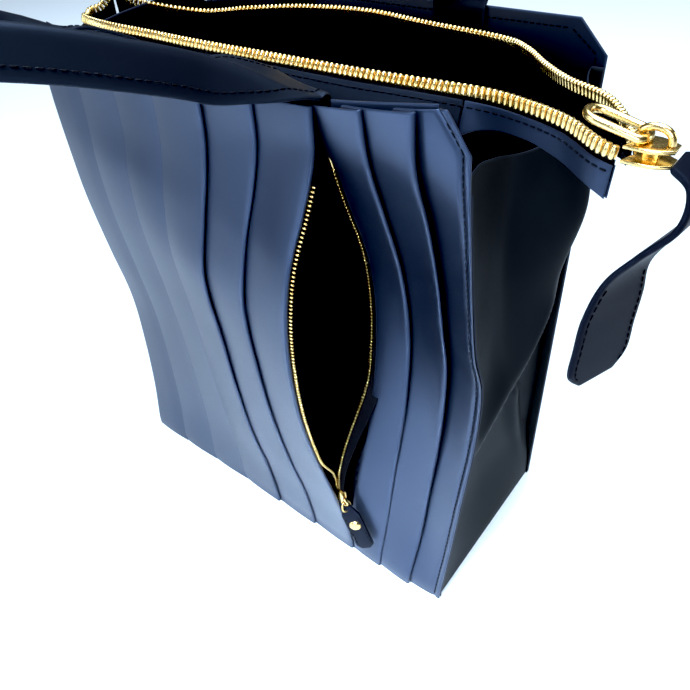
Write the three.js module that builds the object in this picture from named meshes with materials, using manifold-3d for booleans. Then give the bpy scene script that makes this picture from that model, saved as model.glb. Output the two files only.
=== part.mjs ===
// A tote bag of navy-black leather with a knife-pleated front, standing open, in millimetres, +Z up.
// X runs along the front, Y from the front to the back, and the origin is the middle of the base's underside.
import * as THREE from 'three';
import Module from 'manifold-3d';
import { mergeVertices } from 'three/addons/utils/BufferGeometryUtils.js';

// Driving dimensions of the body
const WIDTH = 320; // front and back panels, from side edge to side edge
const DEPTH = 150; // front panel to back panel at the base
const HEIGHT = 372; // base to the top edge at the corners
const LEATHER = 1.5; // one layer of panel leather
const GAP = 0.3; // clearance between pieces that are sewn to each other
const WALL_FOOT = 0.4; // the walls start this far above the floor
const STILL_FOOT = 8; // below this height the walls stand straight
const BASE_THICKNESS = 3;
const CORNER_CUT = 18; // chamfer of the panels' top corners
const FLANGE = { foot: 2, wall: 7, height: 60 }; // a gusset's sewn edge, which grows wider over a height
const FLANGE_OFFSET = LEATHER + GAP + 0.5; // middle of a panel to the middle of the flange behind it
const GUSSET_TOP = 350;
// How much lower each gusset's top edge dips, and how much of the swell it takes
const GUSSET_SIDES = { left: { dip: 4, swell: 0.4 }, right: { dip: 37, swell: 1 } };
const DIP_LEAN = 1.2; // above 1 the dip lies nearer the back
const GUSSET_STEPS = 10; // faces across a gusset
const BACK_BULGE = 4; // roundness of the back panel
const TOP_SAG = 12; // how much lower the middle of the front's top edge lies
const SAG_HALF_SPAN = 150; // the sag ends this far from the middle
const SAG_START = 230; // height where the sag begins
const FRONT_Y = -DEPTH / 2;
const BACK_Y = DEPTH / 2;
const SIDE_X = WIDTH / 2;
const POCKET_BOTTOM = 86; // lower end of the pocket's rows of teeth
const POCKET_TOP = 334;
const POCKET_LEVELS = [POCKET_BOTTOM, 110, 145, 175, 205, 230, 255, 285, 312, POCKET_TOP];
const WALL_LEVELS = [WALL_FOOT, STILL_FOOT, 30, 58, ...POCKET_LEVELS];
const PANEL_LEVELS = [...WALL_LEVELS, HEIGHT - CORNER_CUT, HEIGHT];
const RIDGE_LEVELS = [127, 160, 190, 217, 242]; // more levels where a ridge crosses the gussets
const GUSSET_LEVELS = [...WALL_LEVELS, ...RIDGE_LEVELS, GUSSET_TOP].sort((a, b) => a - b);

// Knife pleats of the front: every fold lies to the right of its own face and over the next face.
const LEFT_FOLDS = [-120, -80, -40, 0, 40, 80]; // the last fold is the pocket's lip
const RIGHT_FOLDS = [107, 134];
const POCKET_EDGE_X = 84; // where the leather beyond the pocket's slit begins
const PLEAT_UNDERLAP = 11; // how far a face begins under the fold before it
const LIP_RETURN = { width: 9, height: 2.2 }; // the lip's turned edge, and how far its end stands out
const LIP_X = LEFT_FOLDS.at(-1);
const POCKET_SEAM_X = LIP_X - PLEAT_UNDERLAP + 2; // where the two front pieces meet above and below the slit
const PLEAT_LIFT = [
  { z: 0, lift: 3.6 },
  { z: 60, lift: 5 },
  { z: 200, lift: 6 },
  { z: 320, lift: 5 },
  { z: HEIGHT, lift: 3.6 },
];

// How far the front left of the pocket stands out (+) or is drawn in (-), by height.
const LEFT_PLACES = { edge: -160, outer: -80, middle: 0, lip: 80 };
const LEFT_BULGE = [
  { z: STILL_FOOT, edge: 0, outer: 0, middle: 0, lip: 0 },
  { z: 50, edge: -6, outer: -2, middle: 5, lip: 7 },
  { z: 100, edge: -10, outer: -1, middle: 14, lip: 19 },
  { z: 150, edge: -11, outer: 1, middle: 19, lip: 31 },
  { z: 200, edge: -5, outer: 5, middle: 22, lip: 38 },
  { z: 250, edge: 0, outer: 10, middle: 25, lip: 38 },
  { z: 290, edge: 1, outer: 9, middle: 16, lip: 30 },
  { z: 320, edge: 1, outer: 4, middle: 8, lip: 15 },
  { z: 345, edge: 0, outer: 3, middle: 4, lip: 5 },
  { z: HEIGHT, edge: 0, outer: 4, middle: 4, lip: 4 },
];

// The same for the front right of the pocket, with its sideways shift.
const RIGHT_PLACES = { lip: 83, first: 107, second: 134, edge: 160 };
const RIGHT_BULGE = [
  { z: STILL_FOOT, lip: 0, first: 0, second: 0, edge: 0, shift: 0 },
  { z: 50, lip: 2, first: -8, second: -12, edge: -6, shift: 2 },
  { z: 100, lip: -6, first: -16, second: -20, edge: -12, shift: 4 },
  { z: 160, lip: -18, first: -26, second: -28, edge: -18, shift: 7 },
  { z: 205, lip: -25, first: -32, second: -31, edge: -19, shift: 7 },
  { z: 235, lip: -28, first: -33, second: -28, edge: -11, shift: 5 },
  { z: 270, lip: -25, first: -28, second: -24, edge: -7, shift: 3 },
  { z: 310, lip: -13, first: -16, second: -15, edge: -4, shift: 1 },
  { z: 345, lip: -3, first: -4, second: -3, edge: -1, shift: 0 },
  { z: HEIGHT, lip: 4, first: 2, second: 0, edge: 0, shift: 0 },
];

// How far the middle of a gusset is drawn in, by height, where its valley lies from front (0) to back (1),
// and how far it swells out near its back edge.
const GUSSET_SHAPE = [
  { z: STILL_FOOT, depth: 0, place: 0.5, swell: 0 },
  { z: 60, depth: 7, place: 0.45, swell: 0 },
  { z: 130, depth: 15, place: 0.4, swell: 0 },
  { z: 200, depth: 18, place: 0.45, swell: 8 },
  { z: 280, depth: 17, place: 0.5, swell: 25 },
  { z: GUSSET_TOP, depth: 15, place: 0.5, swell: 16 },
];
const SWELL = { start: 0.55, full: 0.85, end: 1 };

// A soft ridge crosses a gusset from low at its front edge to high at its back edge.
const GUSSET_RIDGE = [
  { place: 0.2, z: 127 },
  { place: 0.5, z: 142 },
  { place: 0.75, z: 157 },
  { place: 0.9, z: 197 },
  { place: 1, z: 250 },
];
const RIDGE_WIDTH = 24;

// Pocket behind the lip: its zip and its pouch
const POCKET_TAPE = 0.8;
const POCKET_TEETH = { width: 3, thickness: 2.4 };
const UNDER_TAPE = LEATHER / 2 + GAP + POCKET_TAPE / 2 + 0.15; // middle of a leather to that of its tape
const POUCH_CLOTH = 1;
const POUCH_MOUTH = { front: 72, back: 90 }; // where the pouch's two walls end, beside the slit
const POUCH_SLACK = 1.9; // distance between the two walls at the closed side
const POUCH_LEFT = -60; // closed side of the pouch

// Main zip: the line of its teeth, and the lower edge of the leather strip that carries them.
// Rows without a foot are sewn to the panel.
const SEWN_FOOT = { front: 345, back: 342 };
const ZIP_FRONT = [
  { x: -151, y: -38, z: 369, footY: -41, footZ: 355 },
  { x: -138, y: -48, z: 371, footY: -57, footZ: 353 },
  { x: -104, y: -57, z: 373 },
  { x: -60, y: -57, z: 373 },
  { x: -16, y: -57, z: 373 },
  { x: 35, y: -55, z: 373 },
  { x: 82, y: -53, z: 373 },
  { x: 122, y: -50, z: 373 },
  { x: 151, y: -50, z: 374, footY: -47, footZ: 353 },
  { x: 172, y: -54, z: 374, footY: -43, footZ: 353 },
  { x: 193, y: -62, z: 374, footY: -52, footZ: 352 },
  { x: 210, y: -74, z: 373.5, footY: -68, footZ: 352 },
  { x: 219, y: -77.5, z: 373, footY: -75, footZ: 351 },
];
const ZIP_BACK = [
  { x: -150, y: -30, z: 370, footY: -27, footZ: 355 },
  { x: -142, y: -2, z: 368, footY: 6, footZ: 353 },
  { x: -112, y: 25, z: 363, footY: 40, footZ: 347 },
  { x: -76, y: 36, z: 363, footY: 60, footZ: 344 },
  { x: -38, y: 50, z: 365 },
  { x: 10, y: 57, z: 366 },
  { x: 56, y: 53, z: 365 },
  { x: 108, y: 46, z: 365, footY: 68, footZ: 345 },
  { x: 131, y: 31, z: 367, footY: 42, footZ: 346 },
  { x: 152, y: 9, z: 368, footY: 16, footZ: 346 },
  { x: 172, y: -11, z: 370, footY: -5, footZ: 348 },
  { x: 196, y: -30, z: 373, footY: -26, footZ: 350 },
  { x: 210, y: -47, z: 373, footY: -45, footZ: 351 },
  { x: 219, y: -63, z: 373, footY: -64, footZ: 351 },
];
const ZIP_STEPS = 44;
const TEETH = { width: 5.5, thickness: 3.4 };
const ZIP_TAPE = { width: 2, thickness: 0.8 };
const SLIDER = { x: 220, y: -70, z: 370, length: 17, width: 14, thickness: 7, nose: 8 };
const BRIDGE = { length: 12, height: 7, width: 4, wire: 2 };
const PULL = { length: 24, width: 11, thickness: 2, wire: 2.4, tilt: -7 };

// Free end of the zip: a leather tab that springs out past the side and hangs down.
const END_TAB = { thickness: 3, y: -72, steps: 24 };
const END_TAB_PATH = [
  { x: 238, z: 370, width: 16, turn: 0 },
  { x: 247, z: 365, width: 24, turn: 2 },
  { x: 248, z: 351, width: 27, turn: 6 },
  { x: 239, z: 336, width: 28, turn: 12 },
  { x: 231, z: 321, width: 29, turn: 17 },
  { x: 229, z: 304, width: 36, turn: 20 },
  { x: 228.5, z: 287, width: 37, turn: 20 },
  { x: 228.5, z: 272, width: 37, turn: 20 },
  { x: 228.5, z: 263, width: 21, turn: 20 },
];

// Handles: flat at the feet, then folded double along the grip
const STRAP = 2.4;
const STRAP_HALF_WIDTH = 19;
const FOOT_X = 67;
const FOOT_HEIGHT = 11; // how far a foot reaches down behind the panel's edge
const HANDLE_REACH = 200;
const ARCH_ROUNDNESS = 0.8; // 1 gives an ellipse, less gives a fuller arch
const FOLD_END = 75; // distance from the foot where the strap is folded double
const FOLDED_ANGLE = 83; // degrees that each half of the strap turns down
const CREASE_RISE = 7; // the crease stands up by this much as the halves turn down
const ARCH_STATIONS = [8, 16, 25, 34, 44, 55, 66, 78, 95, 115, 135, 155, 172, 186, 195, HANDLE_REACH];
const FRONT_LEAN = { angle: 22, droop: 14, droopFrom: 100, edgeRadius: 6.5 };
const BACK_LEAN = { angle: 84, droop: 0, droopFrom: 100, edgeRadius: 0 };

// Pocket pull: slider, ring, leather tab and rivet
const POCKET_SLIDER = { x: 82, y: -87, z: 75, width: 9, body: 11, lug: 6, thickness: 5, hole: 1.9 };
const POCKET_RING = { radius: 4, wire: 0.8 };
const POCKET_TAB = { length: 46, width: 14, thickness: 2.4, hole: 2.4, holeInset: 4 };
const POCKET_TAB_TURN = { sideways: 19, outward: 4, round: 30 }; // degrees from hanging straight down
const RIVET = { diameter: 8.5, height: 1.6, fromTop: 20 };

const LOOKS = {
  leather: { color: 0x1a2030, roughness: 0.42, metalness: 0 },
  pouch: { color: 0x08090b, roughness: 0.85, metalness: 0 },
  tape: { color: 0x0d0f14, roughness: 0.9, metalness: 0 },
  brass: { color: 0xd8a94a, roughness: 0.28, metalness: 1 },
};

const wasm = await Module();
wasm.setup();
const bag = new THREE.Group();
const vec = (x, y, z) => new THREE.Vector3(x, y, z);
const radians = THREE.MathUtils.degToRad;
const ease = (t) => THREE.MathUtils.smoothstep(t, 0, 1);
const range = (count) => Array.from({ length: count + 1 }, (_, i) => i / count);

function addPiece(name, look, geometry) {
  const mesh = new THREE.Mesh(geometry, new THREE.MeshStandardMaterial(LOOKS[look]));
  mesh.name = name;
  bag.add(mesh);
  return mesh;
}

// A smooth curve through knots of [place, value], held level beyond its ends.
function smooth(knots, at) {
  if (at <= knots[0][0]) return knots[0][1];
  if (at >= knots.at(-1)[0]) return knots.at(-1)[1];
  const k = knots.findIndex(([place]) => place > at);
  const slope = (i) => {
    const [a, b] = [knots[Math.max(i - 1, 0)], knots[Math.min(i + 1, knots.length - 1)]];
    return (b[1] - a[1]) / (b[0] - a[0]);
  };
  const [start, end] = [knots[k - 1], knots[k]];
  const span = end[0] - start[0];
  const t = (at - start[0]) / span;
  const blend = ease(t);
  const bend = span * t * (1 - t);
  return start[1] * (1 - blend) + end[1] * blend + bend * ((1 - t) * slope(k - 1) - t * slope(k));
}

const column = (rows, key, at) => smooth(rows.map((row) => [row.z, row[key]]), at);
const acrossColumns = (rows, places, x, z) =>
  smooth(Object.entries(places).map(([key, place]) => [place, column(rows, key, z)]), x);

// A closed solid from vertices and triangles, with its faces turned out.
function solid(vertices, triangles) {
  const sixVolumes = triangles.reduce((sum, [a, b, c]) => {
    const normal = vertices[b].clone().cross(vertices[c]);
    return sum + vertices[a].dot(normal);
  }, 0);
  const outward = sixVolumes < 0 ? triangles.map(([a, b, c]) => [a, c, b]) : triangles;
  const geometry = new THREE.BufferGeometry().setFromPoints(vertices);
  geometry.setIndex(outward.flat());
  geometry.computeVertexNormals();
  return geometry;
}

function capTriangles(outline) {
  const triangles = THREE.ShapeUtils.triangulateShape(outline, []);
  const turned = THREE.ShapeUtils.area(triangles[0].map((i) => outline[i]));
  const same = Math.sign(turned) === Math.sign(THREE.ShapeUtils.area(outline));
  return same ? triangles : triangles.map(([a, b, c]) => [a, c, b]);
}

// A solid through closed loops of equal length; the flat outlines of its first and last loops close its ends.
function loft(loops, firstOutline, lastOutline) {
  const count = loops[0].length;
  const triangles = [];
  for (let k = 0; k + 1 < loops.length; k++) {
    for (let i = 0; i < count; i++) {
      const next = (i + 1) % count;
      const [a, b] = [k * count + i, k * count + next];
      triangles.push([a, b, b + count], [a, b + count, a + count]);
    }
  }
  const last = (loops.length - 1) * count;
  capTriangles(firstOutline).forEach(([a, b, c]) => triangles.push([a, c, b]));
  capTriangles(lastOutline).forEach(([a, b, c]) => triangles.push([last + a, last + b, last + c]));
  return solid(loops.flat(), triangles);
}

// A band of even thickness between two long edges.
function ribbon(edgeA, edgeB, thickness) {
  const middle = edgeA.map((a, i) => a.clone().lerp(edgeB[i], 0.5));
  const loops = middle.map((_, i) => {
    const ahead = middle[Math.min(i + 1, middle.length - 1)];
    const behind = middle[Math.max(i - 1, 0)];
    const along = ahead.clone().sub(behind);
    const through = along.cross(edgeA[i].clone().sub(edgeB[i])).setLength(thickness / 2);
    return [
      edgeA[i].clone().add(through),
      edgeB[i].clone().add(through),
      edgeB[i].clone().sub(through),
      edgeA[i].clone().sub(through),
    ];
  });
  const square = [[1, 1], [0, 1], [0, 0], [1, 0]].map(([x, y]) => new THREE.Vector2(x, y));
  return loft(loops, square, square);
}

// The outline of a line of even thickness: gentle bends are mitred, and folds are rounded on their outside.
function thicken(line, thickness) {
  const half = thickness / 2;
  const [left, right] = [[], []];
  line.forEach((point, i) => {
    const before = point.clone().sub(line[Math.max(i - 1, 0)]).normalize();
    const after = line[Math.min(i + 1, line.length - 1)].clone().sub(point).normalize();
    const a = i > 0 ? before : after;
    const b = i < line.length - 1 ? after : before;
    const normalA = new THREE.Vector2(-a.y, a.x);
    const normalB = new THREE.Vector2(-b.y, b.x);
    const mitre = normalA.clone().add(normalB).multiplyScalar(half / (1 + a.dot(b)));
    const folded = a.dot(b) < -0.5;
    const side = a.cross(b) > 0 ? -1 : 1;
    const roundFold = [
      point.clone().addScaledVector(normalA, side * half),
      point.clone().addScaledVector(a.clone().sub(b).normalize(), half),
      point.clone().addScaledVector(normalB, side * half),
    ];
    left.push(...(folded && side === 1 ? roundFold : [point.clone().add(mitre)]));
    right.push(...(folded && side === -1 ? roundFold : [point.clone().sub(mitre)]));
  });
  return [...left, ...right.reverse()];
}

// A wall whose section, a line of [across, out] at each height, is placed in space by a function.
function wall(levels, sectionAt, place) {
  const outlines = levels.map((z) => thicken(sectionAt(z), LEATHER));
  const loops = outlines.map((outline, k) => outline.map((point) => place(point.x, point.y, levels[k])));
  return loft(loops, outlines[0], outlines.at(-1));
}

const cornerCut = (z) => Math.max(0, z - (HEIGHT - CORNER_CUT));
const pleatLift = (z) => column(PLEAT_LIFT, 'lift', z);
const leftBulge = (x, z) => acrossColumns(LEFT_BULGE, LEFT_PLACES, x, z);
const rightBulge = (x, z) => acrossColumns(RIGHT_BULGE, RIGHT_PLACES, x, z);
const rightShift = (z) => column(RIGHT_BULGE, 'shift', z);

function sagged(x, z) {
  const sag = TOP_SAG * Math.max(0, 1 - (x / SAG_HALF_SPAN) ** 2);
  return z - sag * ease((z - SAG_START) / (HEIGHT - SAG_START));
}

// Points of the front: across it, out from its middle layer, and up.
const frontLeft = (x, out, z) => vec(x, FRONT_Y - out - leftBulge(x, z), sagged(x, z));
const frontRight = (x, out, z) => vec(x + rightShift(z), FRONT_Y - out - rightBulge(x, z), sagged(x, z));
const frontAt = (x, out, z) => (x < LIP_X + 2 ? frontLeft(x, out, z) : frontRight(x, out, z));
const backBulge = (x, z) => BACK_BULGE * Math.sin((Math.PI * z) / HEIGHT) * Math.cos((Math.PI * x) / WIDTH);

// A pleat's face, from under the fold before it up to its own fold.
function pleat(startX, startOut, foldX, lift) {
  const [start, fold] = [new THREE.Vector2(startX, startOut), new THREE.Vector2(foldX, lift)];
  return [start, start.clone().lerp(fold, 0.5), fold];
}

function leftSection(z) {
  const lift = pleatLift(z);
  const line = LEFT_FOLDS.flatMap((fold, i) => {
    const start = i === 0 ? -SIDE_X + cornerCut(z) : LEFT_FOLDS[i - 1] - PLEAT_UNDERLAP;
    return pleat(start, 0, fold, lift);
  });
  return [...line, new THREE.Vector2(LIP_X - LIP_RETURN.width, LIP_RETURN.height)];
}

const faceStart = LIP_X - PLEAT_UNDERLAP;
const firstRightFace = (x, z) => ((x - faceStart) / (RIGHT_FOLDS[0] - faceStart)) * pleatLift(z);

function rightSection(z) {
  const lift = pleatLift(z);
  const start = z >= POCKET_BOTTOM && z <= POCKET_TOP ? POCKET_EDGE_X : POCKET_SEAM_X;
  const margin = RIGHT_FOLDS[1] - PLEAT_UNDERLAP;
  const end = SIDE_X - cornerCut(z);
  return [
    ...pleat(start, firstRightFace(start, z), RIGHT_FOLDS[0], lift),
    ...pleat(RIGHT_FOLDS[0] - PLEAT_UNDERLAP, 0, RIGHT_FOLDS[1], lift),
    new THREE.Vector2(margin, 0),
    new THREE.Vector2(end - FLANGE.wall, 0),
    new THREE.Vector2(end, 0),
  ];
}

function addPanels() {
  const inset = LEATHER / 2 + GAP;
  const across = WIDTH - 2 * (FLANGE.foot + inset);
  const base = new THREE.BoxGeometry(across, DEPTH - 2 * (FLANGE_OFFSET + inset), BASE_THICKNESS);
  addPiece('base', 'leather', base.translate(0, 0, BASE_THICKNESS / 2));
  const backSection = (z) => range(8).map((t) => new THREE.Vector2((2 * t - 1) * (SIDE_X - cornerCut(z)), 0));
  const backPlace = (x, out, z) => vec(x, BACK_Y + out + backBulge(x, z), z);
  addPiece('back_panel', 'leather', wall(PANEL_LEVELS, backSection, backPlace));
  addPiece('front_panel_left', 'leather', wall(PANEL_LEVELS, leftSection, frontLeft));
  addPiece('front_panel_right', 'leather', wall(PANEL_LEVELS, rightSection, frontRight));
}

// How far a gusset is drawn in between its front (0) and back (1) edges, less its share of the swell.
function drawnIn(t, z, share) {
  const place = column(GUSSET_SHAPE, 'place', z);
  const away = t < place ? 1 - t / place : (t - place) / (1 - place);
  const valley = column(GUSSET_SHAPE, 'depth', z) * (1 - away ** 1.7);
  const ridgeZ = smooth(GUSSET_RIDGE.map((row) => [row.place, row.z]), t);
  const ridge = Math.exp(-(((z - ridgeZ) / RIDGE_WIDTH) ** 2));
  const rise = ease((t - SWELL.start) / (SWELL.full - SWELL.start));
  const fall = ease((SWELL.end - t) / (SWELL.end - SWELL.full));
  return valley * (1 - ridge) - share * column(GUSSET_SHAPE, 'swell', z) * rise * fall;
}

function addGusset(name, side, { dip, swell }) {
  const frontY = (x, z) => FRONT_Y - (side > 0 ? rightBulge(x, z) : leftBulge(-x, z)) + FLANGE_OFFSET;
  const backY = (x, z) => BACK_Y + backBulge(x, z) - FLANGE_OFFSET;
  const sectionAt = (z) => {
    const grown = ease((z - STILL_FOOT) / FLANGE.height);
    const inner = SIDE_X - THREE.MathUtils.lerp(FLANGE.foot, FLANGE.wall, grown);
    const shift = side > 0 ? rightShift(z) : 0;
    const face = range(GUSSET_STEPS).map((t) => {
      const x = inner + shift * (1 - t) - drawnIn(t, z, swell);
      return new THREE.Vector2(side * x, THREE.MathUtils.lerp(frontY(inner, z), backY(inner, z), t));
    });
    const frontEdge = new THREE.Vector2(side * (SIDE_X + shift), frontY(SIDE_X, z));
    const backEdge = new THREE.Vector2(side * SIDE_X, backY(SIDE_X, z));
    return [frontEdge, ...face, backEdge];
  };
  const place = (x, y, z) => {
    const t = THREE.MathUtils.clamp((y - FRONT_Y) / DEPTH, 0, 1);
    const lower = dip * Math.sin(Math.PI * t ** DIP_LEAN) ** 2;
    return vec(x, y, z - lower * ease((z - SAG_START) / (GUSSET_TOP - SAG_START)));
  };
  addPiece(name, 'leather', wall(GUSSET_LEVELS, sectionAt, place));
}

// The pocket's zip: each tape lies under the leather beside the slit, with its teeth along its free edge.
function addPocketZip() {
  const line = (place, x, out) => POCKET_LEVELS.map((z) => place(x, out(z), z));
  const lipTape = { free: LIP_X + 0.3, sewn: LIP_X - LIP_RETURN.width - 1.5 };
  const freeOut = (z) => pleatLift(z) - UNDER_TAPE - 0.6;
  const leftFree = line(frontLeft, lipTape.free, freeOut);
  const leftSewn = line(frontLeft, lipTape.sewn, () => -0.4);
  addPiece('pocket_tape_left', 'tape', ribbon(leftFree, leftSewn, POCKET_TAPE));
  const leftNear = line(frontLeft, lipTape.free + GAP, freeOut);
  const leftFar = line(frontLeft, lipTape.free + GAP + POCKET_TEETH.width, freeOut);
  addPiece('pocket_teeth_left', 'brass', ribbon(leftNear, leftFar, POCKET_TEETH.thickness));

  const edgeTape = { free: LIP_X, sewn: POUCH_MOUTH.back };
  const outAt = (x) => (z) => firstRightFace(x, z) - UNDER_TAPE;
  const rightFree = line(frontRight, edgeTape.free, outAt(edgeTape.free));
  const rightSewn = line(frontRight, edgeTape.sewn, outAt(edgeTape.sewn));
  addPiece('pocket_tape_right', 'tape', ribbon(rightFree, rightSewn, POCKET_TAPE));
  const near = edgeTape.free - GAP;
  const far = near - POCKET_TEETH.width;
  const rightNear = line(frontRight, near, outAt(near));
  const rightFar = line(frontRight, far, outAt(far));
  addPiece('pocket_teeth_right', 'brass', ribbon(rightNear, rightFar, POCKET_TEETH.thickness));
}

// The pouch: a folded cloth whose front wall hangs behind the lip, and its back wall behind the far edge.
function addPouch() {
  const frontOut = -2.2;
  const behindTape = POCKET_TAPE / 2 + GAP + POUCH_CLOTH / 2 + 0.3;
  const behindTeeth = POCKET_TEETH.thickness / 2 + GAP + POUCH_CLOTH / 2 + 0.3;
  const backPoint = (x, z, behind) => frontRight(x, firstRightFace(x, z) - UNDER_TAPE - behind, z);
  const sectionAt = (z) => {
    const frontWall = range(7).map((t) => {
      const x = THREE.MathUtils.lerp(POUCH_MOUTH.front, POUCH_LEFT, t);
      return frontLeft(x, frontOut, z);
    });
    const closed = frontWall.at(-1);
    const nearTeeth = backPoint(LIP_X - 3, z, behindTeeth);
    const widest = nearTeeth.y - frontLeft(nearTeeth.x, frontOut, z).y;
    const backWall = range(6).map((t) => {
      const x = THREE.MathUtils.lerp(closed.x, nearTeeth.x, t);
      return vec(x, frontLeft(x, frontOut, z).y + THREE.MathUtils.lerp(POUCH_SLACK, widest, t ** 1.3), 0);
    });
    const turn = vec(closed.x - 2, closed.y + POUCH_SLACK / 2, 0);
    const line = [...frontWall, turn, ...backWall, backPoint(POUCH_MOUTH.back, z, behindTape)];
    return line.map((point) => new THREE.Vector2(point.x, point.y));
  };
  const outlines = POCKET_LEVELS.map((z) => thicken(sectionAt(z), POUCH_CLOTH));
  const place = ({ x, y }, z) => vec(x, y, sagged(x, z));
  const loops = outlines.map((outline, k) => outline.map((point) => place(point, POCKET_LEVELS[k])));
  addPiece('pocket_bag', 'pouch', loft(loops, outlines[0], outlines.at(-1)));
}

// One side of the main zip: from the teeth down over the tape to the lower edge of the leather strip.
function addZipSide(name, rows, sewnFoot, panelFace) {
  const curve = (points) => new THREE.CatmullRomCurve3(points, false, 'catmullrom', 0.5).getPoints(ZIP_STEPS);
  const top = curve(rows.map((row) => vec(row.x, row.y, row.z)));
  const foot = curve(
    rows.map((row) => {
      const z = row.footZ ?? sewnFoot;
      return vec(row.x, row.footY ?? panelFace(row.x, z), z);
    }),
  );
  const down = (distance) =>
    top.map((point, i) => {
      const drop = foot[i].clone().sub(point);
      return point.clone().addScaledVector(drop, distance / drop.length());
    });
  const tapeTop = TEETH.width + GAP;
  const tapeFoot = tapeTop + ZIP_TAPE.width;
  addPiece(`zip_teeth_${name}`, 'brass', ribbon(top, down(TEETH.width), TEETH.thickness));
  addPiece(`zip_tape_${name}`, 'tape', ribbon(down(tapeTop), down(tapeFoot), ZIP_TAPE.thickness));
  addPiece(`zip_strip_${name}`, 'leather', ribbon(down(tapeFoot + GAP), foot, LEATHER));
}

function addMainZip() {
  const seat = LEATHER + GAP + 0.9;
  addZipSide('front', ZIP_FRONT, SEWN_FOOT.front, (x, z) => frontAt(x, -seat, z).y);
  addZipSide('back', ZIP_BACK, SEWN_FOOT.back, (x, z) => BACK_Y + backBulge(x, z) - seat);
}

// A flat shape with optional holes, pushed up from the XY plane by a thickness.
function plate(outline, thickness, holes = []) {
  const shape = new THREE.Shape(outline.map(([x, y]) => new THREE.Vector2(x, y)));
  shape.holes = holes;
  return new THREE.ExtrudeGeometry(shape, { depth: thickness, bevelEnabled: false, curveSegments: 6 });
}

function roundHole(x, y, radius) {
  return new THREE.Path().absarc(x, y, radius, 0, 2 * Math.PI, true);
}

function joined(first, second) {
  const manifold = (geometry) => {
    const bare = geometry.clone();
    bare.deleteAttribute('normal');
    bare.deleteAttribute('uv');
    const merged = mergeVertices(bare, 1e-4);
    const vertProperties = new Float32Array(merged.getAttribute('position').array);
    const triVerts = new Uint32Array(merged.index.array);
    return new wasm.Manifold(new wasm.Mesh({ numProp: 3, vertProperties, triVerts }));
  };
  const mesh = manifold(first).add(manifold(second)).getMesh();
  const geometry = new THREE.BufferGeometry();
  geometry.setAttribute('position', new THREE.BufferAttribute(mesh.vertProperties, 3));
  geometry.setIndex(new THREE.BufferAttribute(mesh.triVerts, 1));
  geometry.computeVertexNormals();
  return geometry;
}

// The brass slider at the zip's free end, with a bridge on top that holds the pull.
function addMainSlider() {
  const { length, width, nose, thickness } = SLIDER;
  const body = plate(
    [[0, -width / 2], [length * 0.55, -width / 2], [length, -nose / 2],
      [length, nose / 2], [length * 0.55, width / 2], [0, width / 2]],
    thickness,
  ).translate(0, 0, -thickness / 2);
  const { length: span, height, wire } = BRIDGE;
  const bridge = plate(
    [[0, -1], [wire, -1], [wire, height - wire], [span - wire, height - wire],
      [span - wire, -1], [span, -1], [span, height - 1], [span - 1, height], [1, height], [0, height - 1]],
    BRIDGE.width,
  );
  bridge.rotateX(Math.PI / 2).translate((length - span) / 2, BRIDGE.width / 2, thickness / 2);
  const slider = addPiece('zip_slider', 'brass', joined(body, bridge));
  slider.position.set(SLIDER.x, SLIDER.y, SLIDER.z);

  const pullHole = new THREE.Path();
  const inner = PULL.width / 2 - PULL.wire;
  pullHole.moveTo(-PULL.wire, -inner);
  pullHole.lineTo(-PULL.length + PULL.width / 2, -inner);
  pullHole.absarc(-PULL.length + PULL.width / 2, 0, inner, -Math.PI / 2, Math.PI / 2, true);
  pullHole.lineTo(-PULL.wire, inner);
  const outline = new THREE.Shape();
  outline.moveTo(0, -PULL.width / 2);
  outline.lineTo(0, PULL.width / 2);
  outline.lineTo(-PULL.length + PULL.width / 2, PULL.width / 2);
  outline.absarc(-PULL.length + PULL.width / 2, 0, PULL.width / 2, Math.PI / 2, -Math.PI / 2, false);
  outline.holes = [pullHole];
  const depth = PULL.thickness;
  const loop = new THREE.ExtrudeGeometry(outline, { depth, bevelEnabled: false, curveSegments: 8 });
  const pull = addPiece('zip_pull', 'brass', loop.translate(PULL.wire / 2, 0, -depth / 2));
  const hingeX = SLIDER.x + (length - span) / 2 + BRIDGE.wire + PULL.wire / 2 + GAP;
  pull.position.set(hingeX, SLIDER.y, SLIDER.z + thickness / 2 + PULL.thickness / 2 + GAP);
  pull.rotation.y = radians(-PULL.tilt);
}

// The tab's width turns away from the bag's depth, by degrees, on its way down.
function addEndTab() {
  const edge = (side) => {
    const points = END_TAB_PATH.map(({ x, z, width, turn }) => {
      const reach = (side * width) / 2;
      return vec(x + reach * Math.sin(radians(turn)), END_TAB.y + reach * Math.cos(radians(turn)), z);
    });
    return new THREE.CatmullRomCurve3(points, false, 'catmullrom', 0.5).getPoints(END_TAB.steps);
  };
  addPiece('zip_end_tab', 'leather', ribbon(edge(1), edge(-1), END_TAB.thickness));
}

// A strap's section: two halves that turn down from a crease by an angle.
function strapSection(angle) {
  const [along, down] = [Math.cos(angle), Math.sin(angle)];
  const half = STRAP / 2;
  const side = (s) => {
    const end = [s * STRAP_HALF_WIDTH * along, -STRAP_HALF_WIDTH * down];
    return {
      shoulder: [s * (half * along + half * down), half * along - half * down],
      outer: [end[0] + s * half * down, end[1] + half * along],
      inner: [end[0] - s * half * down, end[1] - half * along],
    };
  };
  const [right, left] = [side(1), side(-1)];
  const innerCrease = [0, -half / along];
  return [
    [0, half], right.shoulder, right.outer, right.inner, innerCrease, left.inner, left.outer, left.shoulder,
  ].map(([x, y]) => new THREE.Vector2(x, y));
}

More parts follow.
